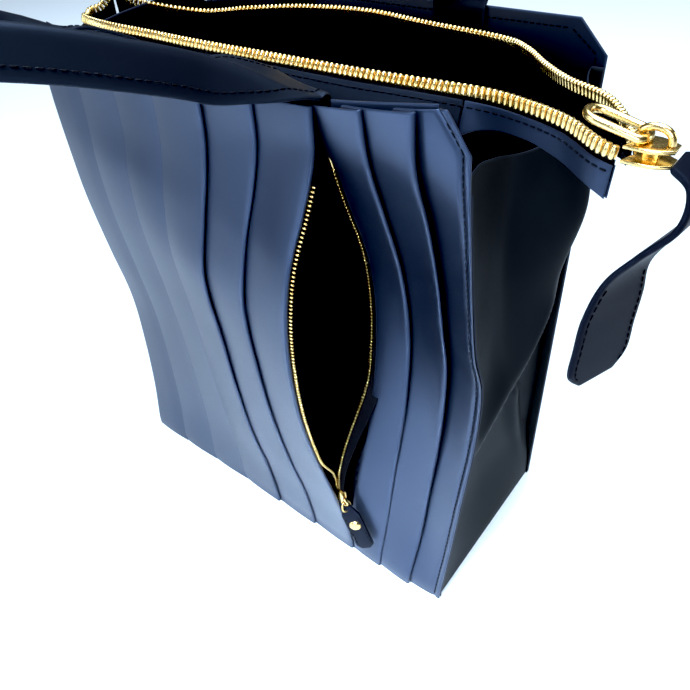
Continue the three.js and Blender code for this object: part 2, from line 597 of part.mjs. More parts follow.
// One handle: its feet stand behind the panel's edge, and its arch leans out by an angle from the level.
function addHandle(name, footY, footZ, edgeZ, outward, lean) {
  const profile = [];
  const toOut = (y, z, angle) => ({ y: footY + outward * y, z, angle });
  profile.push({ ...toOut(0, footZ, Math.PI / 2), r: 0 }, { ...toOut(0, edgeZ, Math.PI / 2), r: 0 });
  const leanAngle = radians(lean.angle);
  if (lean.edgeRadius) {
    range(4).slice(1).forEach((t) => {
      const turn = t * (Math.PI / 2 - leanAngle);
      const y = lean.edgeRadius * (1 - Math.cos(turn));
      profile.push({ ...toOut(y, edgeZ + lean.edgeRadius * Math.sin(turn), Math.PI / 2 - turn), r: 0 });
    });
  }
  const start = profile.at(-1);
  const stations = profile.map(({ y, z, angle }) => ({
    middle: vec(FOOT_X, y, z),
    across: vec(1, 0, 0),
    up: vec(0, -outward * Math.sin(angle), Math.cos(angle)),
    fold: 0,
  }));
  const archPoint = (turn) => ({
    x: FOOT_X * Math.cos(turn) ** ARCH_ROUNDNESS,
    r: HANDLE_REACH * Math.sin(turn) ** ARCH_ROUNDNESS,
  });
  const ahead = vec(0, outward * Math.cos(leanAngle), Math.sin(leanAngle));
  const up = vec(0, -outward * Math.sin(leanAngle), Math.cos(leanAngle));
  const small = 1e-3;
  ARCH_STATIONS.forEach((r) => {
    const turn = Math.asin((r / HANDLE_REACH) ** (1 / ARCH_ROUNDNESS));
    const { x } = archPoint(turn);
    const [p, q] = [archPoint(Math.max(turn - small, 0)), archPoint(Math.min(turn + small, Math.PI / 2))];
    const tangent = new THREE.Vector2(q.x - p.x, q.r - p.r).normalize();
    const droop = lean.droop * (Math.max(0, r - lean.droopFrom) / (HANDLE_REACH - lean.droopFrom)) ** 2;
    const fold = ease(r / FOLD_END);
    const middle = vec(r === HANDLE_REACH ? 0 : x, start.y, start.z - droop);
    middle.addScaledVector(ahead, r).addScaledVector(up, CREASE_RISE * fold);
    const across = vec(tangent.y, 0, 0).addScaledVector(ahead, -tangent.x);
    stations.push({ middle, across, up, fold });
  });
  const mirrored = stations.slice(0, -1).reverse().map(({ middle, across, up: rise, fold }) => ({
    middle: vec(-middle.x, middle.y, middle.z),
    across: vec(-across.x, across.y, across.z),
    up: rise,
    fold,
  }));
  const all = [...stations, ...mirrored];
  const outlines = all.map(({ fold }) => strapSection(radians(FOLDED_ANGLE) * fold));
  const loops = all.map(({ middle, across, up: rise }, i) =>
    outlines[i].map(({ x, y }) => middle.clone().addScaledVector(across, x).addScaledVector(rise, y)));
  addPiece(name, 'leather', loft(loops, outlines[0], outlines.at(-1)));
}

function addHandles() {
  const seat = LEATHER / 2 + GAP + STRAP / 2;
  const frontEdge = sagged(FOOT_X + STRAP_HALF_WIDTH, HEIGHT);
  const footPlaces = [-FOOT_X - STRAP_HALF_WIDTH, -FOOT_X, FOOT_X - STRAP_HALF_WIDTH, FOOT_X, LIP_X + 6];
  const footHeights = [HEIGHT - FOOT_HEIGHT, HEIGHT];
  const faces = footPlaces.flatMap((x) => footHeights.map((z) => frontAt(x, GAP - seat, z).y));
  const frontFoot = Math.max(...faces);
  addHandle('handle_front', frontFoot, frontEdge - FOOT_HEIGHT, frontEdge + GAP, -1, FRONT_LEAN);
  const backFoot = BACK_Y + backBulge(FOOT_X, HEIGHT - FOOT_HEIGHT) - seat - 0.3;
  addHandle('handle_back', backFoot, HEIGHT - FOOT_HEIGHT - 4, HEIGHT + GAP, 1, BACK_LEAN);
}

// The pocket's slider with its ring, leather tab and rivet, hanging down in front of the pleats.
function addPocketPull() {
  const pull = new THREE.Group();
  pull.position.set(POCKET_SLIDER.x, POCKET_SLIDER.y, POCKET_SLIDER.z);
  pull.rotation.set(radians(90 + POCKET_TAB_TURN.outward), 0, 0);
  bag.add(pull);
  const hang = new THREE.Group();
  hang.rotation.z = radians(POCKET_TAB_TURN.sideways);
  pull.add(hang);
  const flap = new THREE.Group();
  flap.rotation.y = radians(POCKET_TAB_TURN.round);
  hang.add(flap);

  const { width, body, lug, thickness, hole } = POCKET_SLIDER;
  const lugEnd = -lug;
  const slider = plate(
    [[-width / 2, body], [-width / 2, 3], [-3, 0], [-3, lugEnd],
      [3, lugEnd], [3, 0], [width / 2, 3], [width / 2, body]],
    thickness,
    [roundHole(0, lugEnd + 3, hole)],
  );
  hang.add(addPiece('pocket_slider', 'brass', slider.translate(0, 0, -thickness / 2)));

  const ringY = lugEnd + 3 - POCKET_RING.radius;
  const ring = new THREE.TorusGeometry(POCKET_RING.radius, POCKET_RING.wire, 8, 20);
  hang.add(addPiece('pocket_ring', 'brass', ring.rotateY(Math.PI / 2).translate(0, ringY, 0)));

  const tabTop = ringY - POCKET_RING.radius + POCKET_TAB.holeInset;
  const { length, width: wide, hole: tabHole } = POCKET_TAB;
  const tab = plate(
    [[-3.5, 0], [-wide / 2, -9], [-wide / 2, -length + 4], [-wide / 2 + 4, -length],
      [wide / 2 - 4, -length], [wide / 2, -length + 4], [wide / 2, -9], [3.5, 0]],
    POCKET_TAB.thickness,
    [roundHole(0, -POCKET_TAB.holeInset, tabHole)],
  );
  flap.add(addPiece('pocket_tab', 'leather', tab.translate(0, tabTop, -POCKET_TAB.thickness / 2)));

  const rivet = new THREE.LatheGeometry(
    [[0, 0], [RIVET.diameter / 2, 0], [RIVET.diameter / 2 - 0.8, RIVET.height], [0, RIVET.height + 0.3]]
      .map(([x, y]) => new THREE.Vector2(x, y)),
    20,
  );
  const rivetOut = POCKET_TAB.thickness / 2 + GAP;
  const rivetY = tabTop - RIVET.fromTop;
  flap.add(addPiece('pocket_rivet', 'brass', rivet.rotateX(Math.PI / 2).translate(0, rivetY, rivetOut)));
}

addPanels();
addGusset('gusset_left', -1, GUSSET_SIDES.left);
addGusset('gusset_right', 1, GUSSET_SIDES.right);
addPocketZip();
addPouch();
addPocketPull();
addMainZip();
addMainSlider();
addEndTab();
addHandles();

export default bag;
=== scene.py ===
"""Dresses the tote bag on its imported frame: pleated leather, single zip teeth, thread and soft light."""
import math

import bmesh
import bpy
import numpy as np
from mathutils import Matrix, Vector


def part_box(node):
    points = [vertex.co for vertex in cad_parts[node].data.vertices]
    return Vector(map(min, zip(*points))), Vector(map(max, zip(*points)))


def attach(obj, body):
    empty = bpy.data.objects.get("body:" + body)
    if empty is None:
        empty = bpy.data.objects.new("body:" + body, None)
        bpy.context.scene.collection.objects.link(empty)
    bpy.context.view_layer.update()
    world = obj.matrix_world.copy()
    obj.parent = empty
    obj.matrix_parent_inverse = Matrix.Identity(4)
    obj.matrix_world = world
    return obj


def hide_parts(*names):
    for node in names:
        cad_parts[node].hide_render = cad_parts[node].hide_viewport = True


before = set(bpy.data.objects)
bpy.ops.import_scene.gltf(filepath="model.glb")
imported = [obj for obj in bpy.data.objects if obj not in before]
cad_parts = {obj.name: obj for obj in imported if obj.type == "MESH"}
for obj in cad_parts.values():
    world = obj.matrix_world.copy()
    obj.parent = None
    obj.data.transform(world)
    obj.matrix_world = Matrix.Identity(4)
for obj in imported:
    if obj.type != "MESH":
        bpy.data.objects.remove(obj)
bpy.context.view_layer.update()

BODY = "root"
MM = 0.001  # all sizes below are millimetres, in the frame of the part

# Body of the bag
HEIGHT = 372
DEPTH = 150
SIDE_X = 160
FRONT_Y = -DEPTH / 2
BACK_Y = DEPTH / 2
LEATHER = 1.5
WALL_FOOT = 0.4
STILL_FOOT = 8  # below this height nothing bulges
CORNER_CUT = 18
CORNER_LEAN = 0.7  # width of the cut at the front's right corner, as a share of its height
TOP_SAG = 12
SAG_HALF_SPAN = 150
SAG_START = 230
BACK_BULGE = 4
FACING_FOOT = 343  # above this height the back's inner side is faced with the outer leather
BASE_REACH = 2.2  # the bottom reaches this much further forward and back than in the source
BASE_ROUND = 1.1
PANEL_STEP = {"front": 4, "back": 6, "gusset": 3}  # distance between a wall's rows of points

# Knife pleats of the front: each fold's place, how far it stands open (0 is LEAST_LIFT, 1 is PLEAT_LIFT),
# and how much of that is pressed flat
LEFT_PLEATS = [
    {"fold": -120, "open": 0, "press": 0.82},
    {"fold": -80, "open": 0, "press": 0.8},
    {"fold": -40, "open": 0, "press": 0.72},
    {"fold": 0, "open": 0.6, "press": 0.1},
    {"fold": 40, "open": 0.6, "press": 0.1},
    {"fold": 80, "open": 1.0, "press": 0},
]
RIGHT_PLEATS = [{"fold": 107, "open": 1.6, "press": 0}, {"fold": 134, "open": 1.6, "press": 0}]
PRESS_START = {"from": -20, "over": 30}  # the pressed folds lie flat from a little above the foot
PRESS_SHARE = 0.45  # share of a face over which the leather thins towards a pressed fold
PLEAT_UNDERLAP = 11
PLEAT_LIFT = {"z": [0, 60, 120, 200, 320, HEIGHT], "lift": [3.6, 3.8, 4.4, 6, 6, 4.6]}
LEAST_LIFT = 3.6
FOLD_RADIUS = 0.85
FACE_CROWN = 0.7
FACE_COUNT = 14
ARC_COUNT = 7
# The groove along the front's right edge: how far in from the edge each point lies, and how far out
EDGE_GROOVE = [(6, 0), (5, -0.5), (4.2, -0.9), (3.4, -0.5), (2.4, 0.25), (1.2, 0.2), (0, 0)]
FRONT_RIM = {"behind": 2.1, "above": 1.5, "below": 16, "beside_strap": 2}

# How pale rubbed leather is, from 0 to 1
WEAR = {
    "edge": 0.5, "margin": 0.6, "fold": 0.6, "face": 0.55,
    "rim": 0.25, "strip": 0.1, "tab": 0.25, "end_tab": 0.15,
}

# Pocket
LIP_X = 80
LIP_RETURN = {"width": 9, "height": 2.2}
POCKET_BOTTOM = 86
POCKET_TOP = 334
POCKET_EDGE_X = 84
POCKET_SEAM_X = 71
# Heights over which the edge beyond the slit runs back under the lip, below and above the zip
POCKET_EDGE_RISE = {"from": 70, "below": 60, "above": 24}
FACE_START = LIP_X - PLEAT_UNDERLAP
TAPE_SEAT = LEATHER / 2 + 0.85  # how far the pocket's tapes lie behind the middle of the leather
TAPE_DROP = 0.6  # how much further back the free edge lies on the left
# Edges of the pocket's tapes and teeth: how far right of the lip each lies on both sides of the slit, and how
# far out from the slider's middle where the rows close
POCKET_EDGES = {
    "sewn": {"left": -LIP_RETURN["width"] - 1.5, "right": 10, "closed": 6.5},
    "free": {"left": 0.3, "right": 0, "closed": 2.9},
    "near": {"left": 0.6, "right": -0.3, "closed": 2.6},
    "far": {"left": 3.6, "right": -3.3, "closed": -0.2},
}
SEWN_OUT = -0.4  # where the left tape's sewn edge lies
# The slider's mouth, the heights over which the rows run to it, and how far beside it the outer face takes
# the dark inner-side leather as painted shade
CLOSING = {"x": 78.4, "y": -87.7, "left": 50, "right": 95, "painted_shade": 3.5}
POCKET_TAPE = 0.8
POCKET_TOOTH = {"width": 1.1, "height": 2.3, "thickness": 1.6, "pitch": 2.3}
TOP_STOP = {"size": (4, 8.4, 2.4), "round": 0.7}
# The pouch: its reach below the zip, its cloth, how far out its front lies, the room in its fold, its ends
# across, how far it lies behind the teeth and the tape, and how its back curves
POUCH_SHAPE = {
    "depth": 14, "cloth": 1.0, "out": -2.2, "slack": 1.9, "closed_x": -60, "open_x": 72, "fold": 2,
    "teeth_x": -3, "behind_teeth": 2.3, "behind_tape": 1.5, "curve": 1.3,
}

# Pull of the pocket zip, in a plane of its own: x across, y up and z out of the leather
POCKET_PULL = Matrix.Translation((82, -87, 75)) @ Matrix.Rotation(math.radians(94), 4, "X")
POCKET_PULL = POCKET_PULL @ Matrix.Rotation(math.radians(19), 4, "Z")
POCKET_FLAP = POCKET_PULL @ Matrix.Rotation(math.radians(30), 4, "Y")
POCKET_SLIDER = {
    "half": [(-1.5, 9.6), (-4.5, 11), (-4.7, 6.5), (-3.6, 2.5), (-2.2, 0.4)],
    "apart": 1.7, "plate": 1.3, "round": 0.45,
    "core": (2.4, 4, 3), "core_at": (0, 7, 0), "core_round": 0.5,
}
POCKET_LUG = {"y": -2.6, "width": 3, "height": 3.2, "wire": 1.0}
POCKET_RING = {"y": -7, "radius": 4, "wire": 0.8}
POCKET_TAB = {
    "top": -7, "length": 46, "half": 7, "thickness": 2.4, "round": 0.6, "neck": 3.2, "shoulder": 9,
    "corner": (3.5, 4), "rivet": 20, "seam": 1.8, "seam_from": 11, "seam_to": 5,
}
RIVET = {"seat": 1.3, "crown": 1.9, "profile": [(1.7, 1.8), (3.1, 1.45), (4.0, 0.9), (4.55, 0.3), (4.6, 0)]}

# How far the front stands out (+) or is drawn in (-): a row for each height, a column for each place across
LEFT_PLACES = [-160, -80, 0, 80]
LEFT_BULGE = {
    STILL_FOOT: [0, 0, 0, 0],
    50: [-6, -2, 5, 7],
    100: [-10, -1, 14, 19],
    150: [-11, 1, 19, 31],
    200: [-5, 5, 22, 38],
    250: [0, 10, 25, 38],
    290: [1, 9, 16, 30],
    320: [1, 4, 8, 15],
    345: [0, 3, 4, 5],
    HEIGHT: [0, 4, 4, 4],
}
RIGHT_PLACES = [83, 107, 134, 160]
RIGHT_BULGE = {
    STILL_FOOT: [0, 0, 0, 0],
    50: [2, -8, -12, -6],
    100: [-6, -16, -20, -12],
    160: [-18, -26, -28, -18],
    205: [-25, -32, -31, -19],
    235: [-28, -33, -28, -11],
    270: [-25, -28, -24, -7],
    310: [-13, -16, -15, -4],
    345: [-3, -4, -3, -1],
    HEIGHT: [4, 2, 0, 0],
}
RIGHT_SHIFT = {"z": list(RIGHT_BULGE), "shift": [0, 2, 4, 7, 7, 5, 3, 1, 0, 0]}

# Gussets: how far each is drawn in, where its valley lies from front (0) to back (1), and its swell
GUSSET_TOP = 350
GUSSET_SHAPE = {
    "z": [STILL_FOOT, 60, 130, 200, 280, GUSSET_TOP],
    "depth": [0, 7, 15, 18, 17, 15],
    "place": [0.5, 0.45, 0.4, 0.45, 0.5, 0.5],
    "swell": [0, 0, 0, 8, 25, 16],
}
VALLEY_CURVE = 1.7
SWELL = {"start": 0.55, "full": 0.85, "end": 1}
GUSSET_RIDGE = {"place": [0.2, 0.5, 0.75, 0.9, 1], "z": [127, 142, 157, 197, 250]}
RIDGE_WIDTH = {"above": 24, "below": 13, "crest": 6}
# A second, lower ridge: its ends, its width, its share, and the heights over which it fades at both ends
CREASE = {
    "top": (0.707, 133), "foot": (0.93, 32), "width": 0.055, "share": 0.75,
    "foot_fade": (12, 40), "top_fade": (8, 20),
}
FLANGE = {"foot": 2, "wall": 7, "height": 60, "offset": 2.3}
# How much lower each gusset's top edge is from front (0) to back (1), and how much of the swell it takes
GUSSET_SIDES = {
    "left": {"side": -1, "dips": [0, -8, -14, -17, -17, -9, 0], "swell": 0.4},
    "right": {"side": 1, "dips": [15, 19, 21, 28, 34, 18, 0], "swell": 1},
}
DIP_PLACES = [0, 0.15, 0.29, 0.45, 0.65, 0.85, 1]

# Main zip: x, y, z of the teeth's edge, then y and z of the strip's lower edge, None where that is sewn
SEWN_FOOT = {"front": 345, "back": 342}
ZIP_FRONT = [
    (-150, -16, 381, -17, 350),
    (-154, -23, 372, -24, 352),
    (-157, -31, 370, -32, 356),
    (-151, -38, 369, -41, 355),
    (-138, -48, 371, -57, 353),
    (-104, -57, 373, None, None),
    (-60, -57, 373, None, None),
    (-16, -57, 373, None, None),
    (35, -55, 373, None, None),
    (82, -53, 373, None, None),
    (122, -50, 373, None, None),
    (151, -50, 374, -54, 356),
    (172, -54, 374, -55, 358),
    (193, -62, 374, -64, 357),
    (210, -74, 373.5, -77, 356),
    (219, -77.5, 373, -81, 354),
]
ZIP_BACK = [
    (-150, -15, 382, -14, 350),
    (-142, -2, 370, 5, 348),
    (-112, 25, 360, 40, 345),
    (-76, 36, 363, 60, 344),
    (-38, 50, 365, None, None),
    (10, 57, 366, None, None),
    (56, 53, 365, None, None),
    (108, 46, 365, 68, 345),
    (131, 31, 367, 42, 346),
    (152, 9, 368, 16, 346),
    (172, -11, 370, -5, 348),
    (196, -30, 373, -26, 350),
    (210, -47, 373, -45, 355),
    (219, -63, 373, -64, 362),
]
TOOTH = {"width": 2.4, "height": 5.5, "thickness": 3.2, "pitch": 2.95}
TOOTH_ROUND = 0.42  # rounding of any tooth, as a share of its width
TOOTH_SWELL = 0.1  # how much fuller a tooth is in its middle
ZIP_TAPE = {"under_teeth": 0.6, "width": 8, "thickness": 0.7}
# The strip's two layers: gap to the teeth, thickness, seam below their edge and how far out it lies, in
# layers, where the free part begins, and how far the sewn foot lies behind the panels
STRIP = {"below_teeth": 1.4, "layer": 0.85, "seam": 2.6, "thread": 1.6, "free_from": 143, "seat": 2.7}
SLIDER = (220, -70, 370)
MAIN_SLIDER = {
    "half": [(2.6, 0), (1.2, -3), (0, -7), (9.4, -7), (13.5, -5.6), (17, -3.4)],
    "apart": 2.7, "plate": 1.6, "round": 0.5,
    "core": (6, 3.4, 4.6), "core_at": (8.5, 0, 0), "core_round": 0.6,
}
SLIDER_BRIDGE = {"x": 8.5, "radius": 6, "z": 3.4, "curve": 0.7, "wire": 1.5, "end": 0.02}
ZIP_PULL = {"half": 5.2, "reach": 15.5, "wire": 1.65, "hinge": 0.6, "from_end": 4, "z": 376, "tilt": 13}
END_TAB_PATH = [  # x, z, width and turn of the tab's middle line
    (238, 370, 16, 0),
    (247, 365, 24, 2),
    (248, 351, 27, 6),
    (239, 336, 28, 12),
    (231, 321, 29, 17),
    (229, 304, 36, 20),
    (228.5, 287, 37, 20),
    (228.5, 272, 37, 20),
    (228.5, 263, 21, 20),
]
END_TAB = {"y": -72, "thickness": 2.8, "seam": 3.2, "sewn": slice(46, 84)}

# Handles
STRAP = 2.4
STRAP_HALF_WIDTH = 18
STRAP_BEND = 3  # width of the soft crease along the middle of the strap
STRAP_CLEAR = 0.3
STRAP_SEAM = {"rows": slice(12, -12), "columns": (7, -8)}
FOOT_X = 67
FOOT_HEIGHT = 11
BACK_FOOT_DROP = 4
FOOT_SEAMS = {"above_foot": (-1, 2), "below_top": 4, "inset": 3}
HANDLE_REACH = 200
ARCH_ROUNDNESS = 0.8
ARCH_SPACING = 1.25  # sets the arch's stations closer together near the feet
FOLD_END = 75
# How far the strap is turned down on both sides of its crease, in degrees, at distances along the arch
STRAP_FOLD = {"r": [0, 20, 38, 60, 85], "inner": [-14, -16, -5, 45, 83], "outer": [0, 60, 80, 83, 83]}
CREASE_END = 58  # the crease runs in from the strap's outer edge to its middle by here
CREASE_RISE = 5
# Each handle's lean from level in degrees, its droop and where that begins, and its bend over the edge
FRONT_LEAN = {"angle": 22, "droop": 14, "droop_from": 100, "edge_radius": 6.5}
BACK_LEAN = {"angle": 84, "droop": 0, "droop_from": 100, "edge_radius": 0}

# Stitches: their pitch, length and radius, how full they are along their length, and how far they stand out
STITCH = {"pitch": 4, "length": 2.9, "radius": 0.42, "sides": 6}
STITCH_PROFILE = [(-0.5, 0.45), (-0.36, 1), (0.36, 1), (0.5, 0.45)]
PANEL_THREAD = 0.25
STRAP_THREAD = 0.1
# The panels' seams: their lower end, their gap to the edge, and gaps to the top, the corner's cut or its ends
FRONT_SEAM = {"foot": 4, "edge": 4.2, "top": 5}
BACK_SEAM = {"foot": 4, "edge": 6, "cut": 2, "end": 5}

# Light and view, in metres: a light's place, its target, the disk's size, watts and spread in degrees
DAYLIGHT = (0.71, 0.855, 1)
LIGHTS = {
    "window": ((-1.5, -1.95, 1.0), (0, 0, 0.1), 1.7, 30, 180),
    "fill": ((0.9, -2.0, 1.0), (0, 0, 0.2), 1.2, 36, 180),
    "pool": ((0.08, -0.55, 1.1), (0.08, -0.15, 0), 0.3, 1.65, 30),
    "far_pool": ((-0.3, -0.95, 1.2), (-0.3, -0.72, 0), 0.5, 5.5, 28),
    "ceiling": ((0.1, 0.4, 2.4), (0.1, 0.4, 0), 2.6, 125, 180),
    "rim": ((1.9, 1.4, 0.9), (0.15, 0, 0.2), 1.0, 12, 180),
}
SKY = {"colour": (0.85, 0.92, 1, 1), "strength": 0.08}
BLACK_LEVEL = (0.010, 0.014, 0.019)
FLOOR_HALF = 4
CAMERA = {
    "place": (0.2844, -0.3125, 0.4763),
    "forward": (-0.4940, 0.5856, -0.6427),
    "right": (0.7910, 0.6095, -0.0526),
    "sensor": 36, "lens": 34.9, "clip": 0.01,
}


# Shape functions


def ease(t):
    t = np.clip(t, 0, 1)
    return t * t * (3 - 2 * t)


def smooth(places, values, at):
    """A smooth curve through values at places, held level beyond its ends. Values may differ by point."""
    places = np.asarray(places, float)
    at = np.clip(np.asarray(at, float), places[0], places[-1])
    values = np.broadcast_to(np.asarray(values, float), at.shape + places.shape)
    count = len(places)
    before = np.maximum(np.arange(count) - 1, 0)
    after = np.minimum(np.arange(count) + 1, count - 1)
    slopes = (values[..., after] - values[..., before]) / (places[after] - places[before])
    k = np.clip(np.searchsorted(places, at, side="right") - 1, 0, count - 2)

    def pick(table, index):
        return np.take_along_axis(table, index[..., None], -1)[..., 0]

    span = places[k + 1] - places[k]
    t = (at - places[k]) / span
    blend = ease(t)
    bend = span * t * (1 - t) * ((1 - t) * pick(slopes, k) - t * pick(slopes, k + 1))
    return pick(values, k) * (1 - blend) + pick(values, k + 1) * blend + bend


def bulge(table, places, x, z):
    """Reads a bulge table at any place across and height."""
    x, z = np.broadcast_arrays(np.asarray(x, float), np.asarray(z, float))
    heights = list(table)
    columns = np.array(list(table.values()), float).T
    across = np.stack([smooth(heights, column, z) for column in columns], -1)
    return smooth(places, across, x)


def lift_at(z, opening=1.0):
    lift = smooth(PLEAT_LIFT["z"], PLEAT_LIFT["lift"], z)
    return LEAST_LIFT + (lift - LEAST_LIFT) * opening


def sagged(x, z):
    sag = TOP_SAG * np.maximum(0, 1 - (x / SAG_HALF_SPAN) ** 2)
    return z - sag * ease((z - SAG_START) / (HEIGHT - SAG_START))


def right_shift(z):
    return smooth(RIGHT_SHIFT["z"], RIGHT_SHIFT["shift"], z)


def front_left(x, out, z):
    return np.stack([x + 0 * z, FRONT_Y - out - bulge(LEFT_BULGE, LEFT_PLACES, x, z), sagged(x, z)], -1)


def front_right(x, out, z):
    y = FRONT_Y - out - bulge(RIGHT_BULGE, RIGHT_PLACES, x, z)
    return np.stack([x + right_shift(z), y, sagged(x, z)], -1)


def back_bulge(x, z):
    return BACK_BULGE * np.sin(math.pi * z / HEIGHT) * np.cos(math.pi * x / (2 * SIDE_X))


def back_at(x, out, z):
    return np.stack([x + 0 * z, BACK_Y + out + back_bulge(x, z), z + 0 * x], -1)


def corner_cut(z):
    return np.maximum(0, z - (HEIGHT - CORNER_CUT))


def first_right_face(x, z):
    fold = RIGHT_PLEATS[0]["fold"]
    return (x - FACE_START) / (fold - FACE_START) * lift_at(z)


def catmull(points, steps):
    """Points on a smooth curve that passes through the given ones, even in its parameter."""
    points = np.asarray(points, float)
    padded = np.vstack([2 * points[0] - points[1], points, 2 * points[-1] - points[-2]])
    at = np.linspace(0, len(points) - 1, steps)
    k = np.minimum(at.astype(int), len(points) - 2)
    t = (at - k)[:, None]
    p0, p1, p2, p3 = (padded[k + i] for i in range(4))
    ends = (2 * t**3 - 3 * t**2 + 1) * p1 + (3 * t**2 - 2 * t**3) * p2
    return ends + (t**3 - 2 * t**2 + t) * (p2 - p0) / 2 + (t**3 - t**2) * (p3 - p1) / 2


def unit(vectors):
    return vectors / np.linalg.norm(vectors, axis=-1, keepdims=True)


def run_along(line):
    """The distance of each point of a line from its start."""
    return np.concatenate([[0], np.cumsum(np.linalg.norm(np.diff(line, axis=0), axis=1))])


def spaced(line, pitch):
    """Where points at an even pitch lie along a line: the index, as a fraction, of each."""
    run = run_along(line)
    count = int(run[-1] / pitch)
    margin = (run[-1] - (count - 1) * pitch) / 2
    return np.interp(margin + pitch * np.arange(count), run, np.arange(len(line)))


def at_index(values, index):
    """Values between the rows of an array, at fractional row numbers."""
    low = np.clip(index.astype(int), 0, len(values) - 2)
    t = (index - low)[:, None]
    return values[low] * (1 - t) + values[low + 1] * t


def circle(count):
    return np.linspace(0, 2 * math.pi, count, endpoint=False)


# Materials


class Look:
    """A material in the making: patterns in the object's own coordinates that feed one Principled shader."""

    def __init__(self, name):
        self.made = bpy.data.materials.new(name)
        self.made.use_nodes = True
        self.nodes = self.made.node_tree.nodes
        self.links = self.made.node_tree.links
        self.coords = self.nodes.new("ShaderNodeTexCoord").outputs["Object"]

    def feed(self, node, inputs):
        """Links the outputs of other nodes, and sets plain values on the sockets themselves."""
        for key, value in inputs.items():
            if isinstance(value, bpy.types.NodeSocket):
                self.links.new(value, node.inputs[key])
            else:
                node.inputs[key].default_value = value

    def add(self, kind, output, inputs, **settings):
        node = self.nodes.new("ShaderNode" + kind)
        for key, value in settings.items():
            setattr(node, key, value)
        self.feed(node, inputs)
        return node.outputs[output]

    def pattern(self, kind, scale, output="Fac", settings=(), **inputs):
        return self.add(kind, output, {"Vector": self.coords, "Scale": scale, **inputs}, **dict(settings))

    def ramp(self, source, low, high, stops=(0.3, 0.7)):
        """A colour ramp between two colours."""
        node = self.nodes.new("ShaderNodeValToRGB")
        for element, place, colour in zip(node.color_ramp.elements, stops, (low, high)):
            element.position = place
            element.color = (*colour, 1)
        self.links.new(source, node.inputs["Fac"])
        return node.outputs["Color"]

    def span(self, source, low, high):
        """A value from 0 to 1 spread over a range."""
        return self.add("MapRange", "Result", {"Value": source, "To Min": low, "To Max": high})

    def bump(self, source, strength, depth=0.0002):
        return self.add("Bump", "Normal", {"Height": source, "Strength": strength, "Distance": depth})

    def finish(self, colour, roughness, **inputs):
        names = {key.replace("_", " "): value for key, value in inputs.items()}
        self.feed(self.nodes["Principled BSDF"], {"Base Color": colour, "Roughness": roughness, **names})
        return self.made


def leather_material(name, dark, light, roughness, shine):
    """Smooth leather: fine grain, cloudy dye and paler folds, which the vertex layer named wear marks."""
    look = Look(name)
    clouds = look.pattern("TexNoise", 14, Detail=4)
    grain = look.pattern("TexVoronoi", 1500, "Distance")
    pores = look.pattern("TexNoise", 700, Detail=6, Roughness=0.6)
    wear = look.add("Attribute", "Fac", {}, attribute_name="wear")
    pale = (*[1.6 * c for c in light], 1)
    dye = {"Factor": wear, "A": look.ramp(clouds, dark, light), "B": pale}
    relief = look.add("Math", "Value", {0: grain, 1: 0.5, 2: pores}, operation="MULTIPLY_ADD")
    return look.finish(
        look.add("Mix", "Result", dye, data_type="RGBA"),
        look.span(pores, roughness - 0.05, roughness + 0.05),
        Normal=look.bump(relief, 0.06), Specular_IOR_Level=shine, Specular_Tint=(0.4, 0.57, 1, 1),
    )


def cloth_material(name, dark, light, thread):
    """Woven cloth: two crossing sets of threads."""
    look = Look(name)
    waves = [
        look.pattern("TexWave", thread, settings={"bands_direction": direction}, Distortion=0.4)
        for direction in ("DIAGONAL", "Z")
    ]
    weave = look.add("Math", "Value", dict(enumerate(waves)), operation="MULTIPLY")
    dye = look.ramp(weave, dark, light, (0.1, 0.9))
    return look.finish(dye, 0.9, Normal=look.bump(weave, 0.5, 0.0003), Specular_IOR_Level=0.05)


def brass_material(name):
    """Polished brass with faint rubbing marks and a warmer tone in places."""
    look = Look(name)
    rubbed = look.pattern("TexNoise", 900, Detail=5)
    tone = look.ramp(look.pattern("TexNoise", 60, Detail=3), (0.86, 0.56, 0.19), (0.97, 0.73, 0.34))
    return look.finish(tone, look.span(rubbed, 0.16, 0.34), Normal=look.bump(rubbed, 0.04), Metallic=1)


def thread_material(name):
    """Waxed thread with a fine twist."""
    look = Look(name)
    twist = look.pattern("TexWave", 900, Distortion=1.5)
    dye = look.ramp(twist, (0.002, 0.003, 0.005), (0.006, 0.008, 0.013))
    return look.finish(dye, 0.7, Normal=look.bump(twist, 0.4), Specular_IOR_Level=0.1)


def floor_material(name):
    """Pale paint with faint clouds."""
    look = Look(name)
    clouds = look.pattern("TexNoise", 2, Detail=2)
    return look.finish(look.ramp(clouds, (0.86, 0.9, 0.94), (0.89, 0.93, 0.97)), 0.7)


NAVY = leather_material("navy_leather", (0.006, 0.009, 0.017), (0.008, 0.012, 0.022), 0.39, 0.72)
# A duller copy of the navy leather, with almost no reflection: painted shade on the gussets' outer sides.
PAINTED_SHADE_SIDE = leather_material("side_leather_painted_shade", (0.008, 0.010, 0.0125), (0.0105, 0.013, 0.016), 0.42, 0.03)
# A darker, duller copy of the navy leather: painted shade on the pocket pull's tab and the main zip's end
# tab.
PAINTED_SHADE_TAB = leather_material("tab_leather_painted_shade", (0.005, 0.0065, 0.011), (0.007, 0.009, 0.015), 0.45, 0.05)
# A darker, duller copy of the navy leather: painted shade on the handles and on the main zip's sewn strips.
PAINTED_SHADE_STRAP = leather_material("strap_leather_painted_shade", (0.004, 0.0055, 0.008), (0.006, 0.008, 0.012), 0.5, 0.2)
# The leather's inner side, also laid on the outer face beside the pocket's lower end as painted shade.
INSIDE_AND_PAINTED_SHADE = leather_material("leather_inside_and_painted_shade", (0.004, 0.005, 0.008), (0.007, 0.008, 0.013), 0.6, 0.3)
POUCH = cloth_material("pouch_cloth", (0.001, 0.001, 0.002), (0.004, 0.004, 0.005), 420)
TAPE = cloth_material("zip_tape", (0.003, 0.004, 0.006), (0.012, 0.014, 0.02), 520)
BRASS = brass_material("brass")
THREAD = thread_material("thread")


# Mesh helpers


